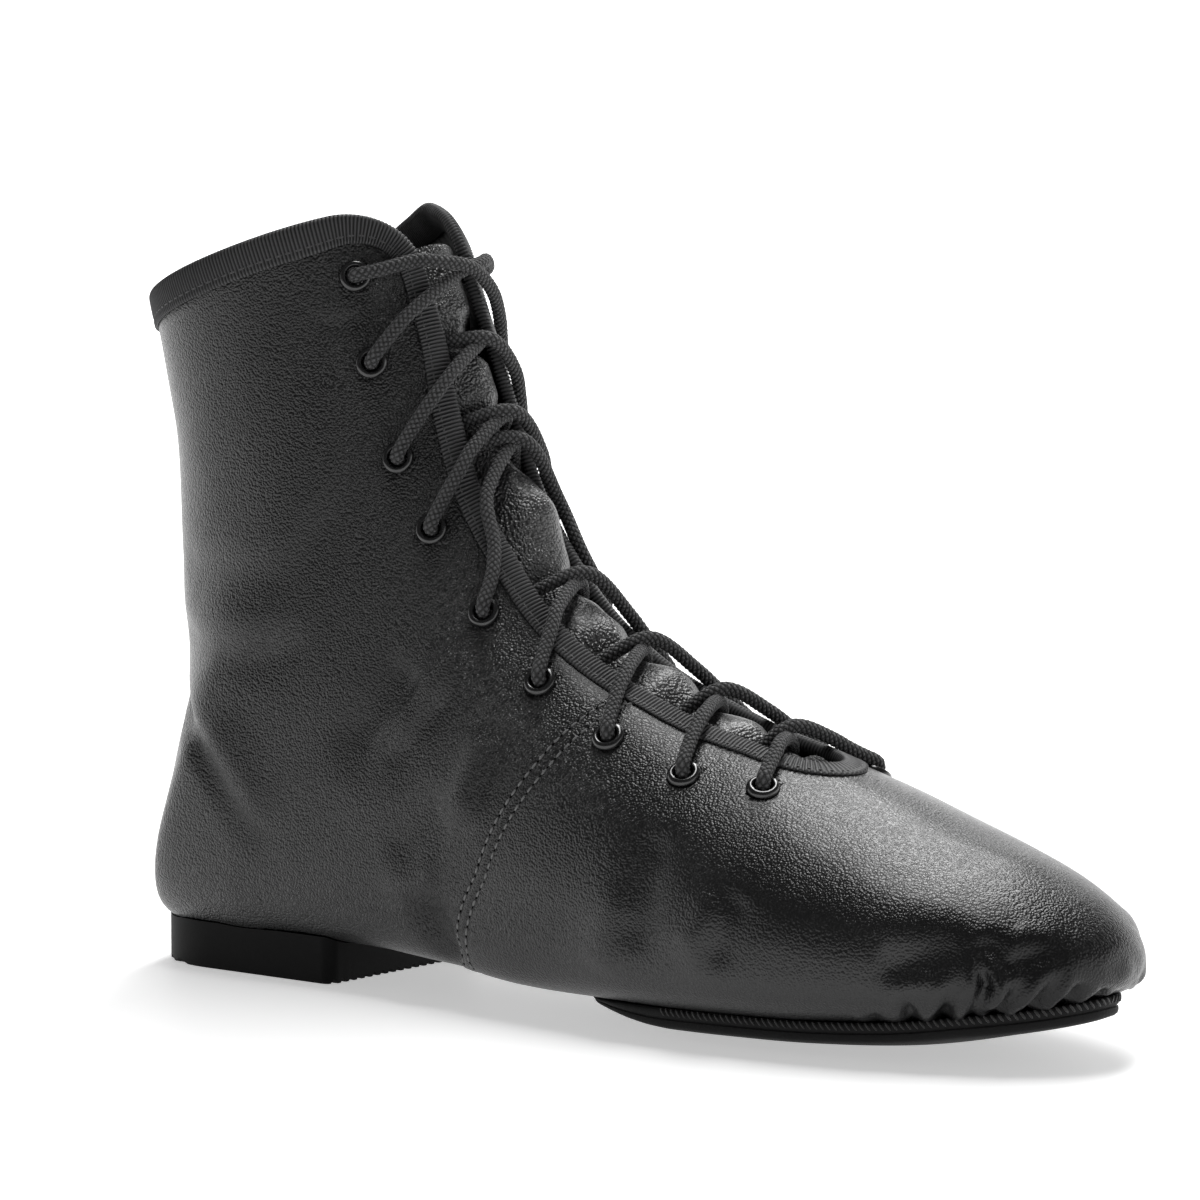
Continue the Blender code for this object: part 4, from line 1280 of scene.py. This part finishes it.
def lace_look(length):
    """Plaited waxed cotton: each plait a bundle of fine yarns along the cord, with a soft fuzz and random
    paler flecks; its colour is darker in the valleys between the plaits as painted shade and paler on their
    crowns as painted highlight.
    """
    made, tree, shader, place = new_material("plaited_cotton")
    waves = []
    for turn in (1.0, -1.0):
        along = add_node(
            tree, "ShaderNodeVectorMath", {0: place.outputs["UV"]}, operation="DOT_PRODUCT",
        )
        along.inputs[1].default_value = (math.pi * PLAITS, turn * math.pi * length / PLAIT_PITCH, 0.0)
        waves.append(add_node(tree, "ShaderNodeMath", {0: along.outputs["Value"]}, operation="SINE"))
    both = add_node(
        tree, "ShaderNodeMath", {number: wave.outputs["Value"] for number, wave in enumerate(waves)},
        operation="MULTIPLY",
    )
    plait = add_node(tree, "ShaderNodeMath", {0: both.outputs["Value"]}, operation="ABSOLUTE")
    mixed = add_node(
        tree, "ShaderNodeMath", {0: add_noise(tree, place, 3600.0), 2: plait.outputs["Value"]},
        operation="MULTIPLY_ADD",
    )
    mixed.inputs[1].default_value = 0.8
    add_bump(tree, shader, mixed.outputs["Value"], 0.9, 0.0003)
    plait_shade_and_fleck = add_range(tree, mixed.outputs["Value"], 0.0, 1.0, 0.6, 1.45)
    # Painted shade in the plaits' valleys and painted highlight on their crowns, mixed with random flecks of
    # paler yarn.
    add_tones(tree, shader, plait_shade_and_fleck, (0.0015, 0.0016), (0.085, 0.088))
    set_shader(shader, Roughness=0.56, Sheen_Weight=0.08)
    return made


finish_piece(lace, lace_look(lace_length), "lace", *(f"lace_crossing_{k}" for k in range(1, 9)))
print("lace length in millimetres", round(lace_length))


# The tongue: a leaf of the same leather below the throat, sewn under the vamp at its front end and
# loose behind. It bulges up between the flaps, and the lace presses it down where a strand dips.
TONGUE_FRONT, TONGUE_TOP, TONGUE_HALF = 5.5, 18.9, 0.92
TONGUE_THICK = 1.3
PRESS_CLEAR, PRESS_ROUND = 0.25, 0.1
# Depth of the tongue below the leather's line by angle from the top line.
TONGUE_DEPTH = np.array(((0.0, 1.0), (0.1, 1.3), (0.2, 2.1), (0.3, 3.2), (0.42, 4.0), (1.2, 4.4))).T
# Where it bulges most between the flaps: station, reach in station, height.
TONGUE_CROWNS = ((12.2, 0.65, 4.4), (10.1, 0.45, 1.4), (9.0, 0.4, 1.2), (7.9, 0.35, 0.9))
CROWN_SPREAD = 0.26
# Puckers of the tongue: station, angle, reach in station, reach in angle, height.
TONGUE_PUCKERS = (
    (9.05, -0.06, 0.14, 0.16, 0.7), (9.4, -0.02, 0.1, 0.2, -1.2), (9.75, -0.1, 0.16, 0.13, 0.6),
    (10.3, 0.08, 0.2, 0.12, -0.6), (11.0, -0.05, 0.3, 0.12, 0.5), (12.6, -0.24, 0.3, 0.05, -0.9),
    (12.2, 0.05, 0.5, 0.12, 0.4),
    (8.2, 0.05, 0.2, 0.15, -0.5), (7.6, -0.02, 0.25, 0.12, 0.4),
)


def tongue_depth(station, angle):
    """How far the tongue lies below the leather's line, puckers included."""
    shallow = WALL + 0.45
    deep = smooth(np.abs(angle), TONGUE_DEPTH)
    for at, reach, height in TONGUE_CROWNS:
        deep = deep - height * bell(station, at, reach) * bell(angle, 0.0, CROWN_SPREAD)
    depth = shallow + (deep - shallow) * ramp(station, 6.5, 7.2)
    for at, turn, reach, spread, height in TONGUE_PUCKERS:
        depth = depth - height * bell(station, at, reach) * bell(angle, turn, spread)
    return depth


def pressed(points, normals, cord):
    """Points pushed down along their normals to clear a cord that lies on them."""
    moved = points.copy()
    for start in range(0, len(points), 400):
        part = slice(start, start + 400)
        away = points[part, None] - cord[None]
        height = (away * normals[part, None]).sum(2)
        beside = (away**2).sum(2) - height**2
        over = height + LACE_RADIUS + PRESS_CLEAR - PRESS_ROUND * beside
        over = np.where((beside < 80) & (np.abs(height) < 9), over, 0.0).max(axis=1)
        moved[part] -= normals[part] * np.maximum(over, 0.0)[:, None]
    return moved


tongue, along_share, across_share = start_grid("leather_tongue", 230, 56)
station = TONGUE_FRONT + (TONGUE_TOP - TONGUE_FRONT) * along_share
angle = TONGUE_HALF * (2 * across_share - 1) * (0.62 + 0.38 * ramp(station, 5.5, 8.0))
depth = tongue_depth(station, angle)
crinkle = np.array([noise.noise(place) for place in (skin(station, angle) / (7.0, 7.0, 4.0)).tolist()])
depth = depth - 0.35 * crinkle * ramp(station, 6.6, 7.2) * (1 - 0.7 * ramp(station, 13.5, 15.0))
normals = outward(station, angle)
shape(tongue, pressed(skin(station, angle) - normals * depth[:, None], normals, core))
edit(tongue, lambda: bpy.ops.mesh.vertices_smooth(factor=0.5, repeat=8), face_out)
if tongue.data.polygons[len(tongue.data.polygons) // 2].normal.z < 0:
    edit(tongue, bpy.ops.mesh.flip_normals)
leaf = tongue.modifiers.new("leaf", "SOLIDIFY")
leaf.thickness = TONGUE_THICK * MM
leaf.offset = -1
apply_modifier(tongue, leaf)
# A lighter and shinier copy of the upper's leather, as painted highlight on the tongue's bulge.
tongue_leather_painted_highlight = leather_look("tongue_leather_painted_highlight", (0.004, 0.0043), (0.008, 0.0085), 1500.0, 0.34, 1.0)
finish_piece(tongue, tongue_leather_painted_highlight, "leather", "tongue", sharp=50)
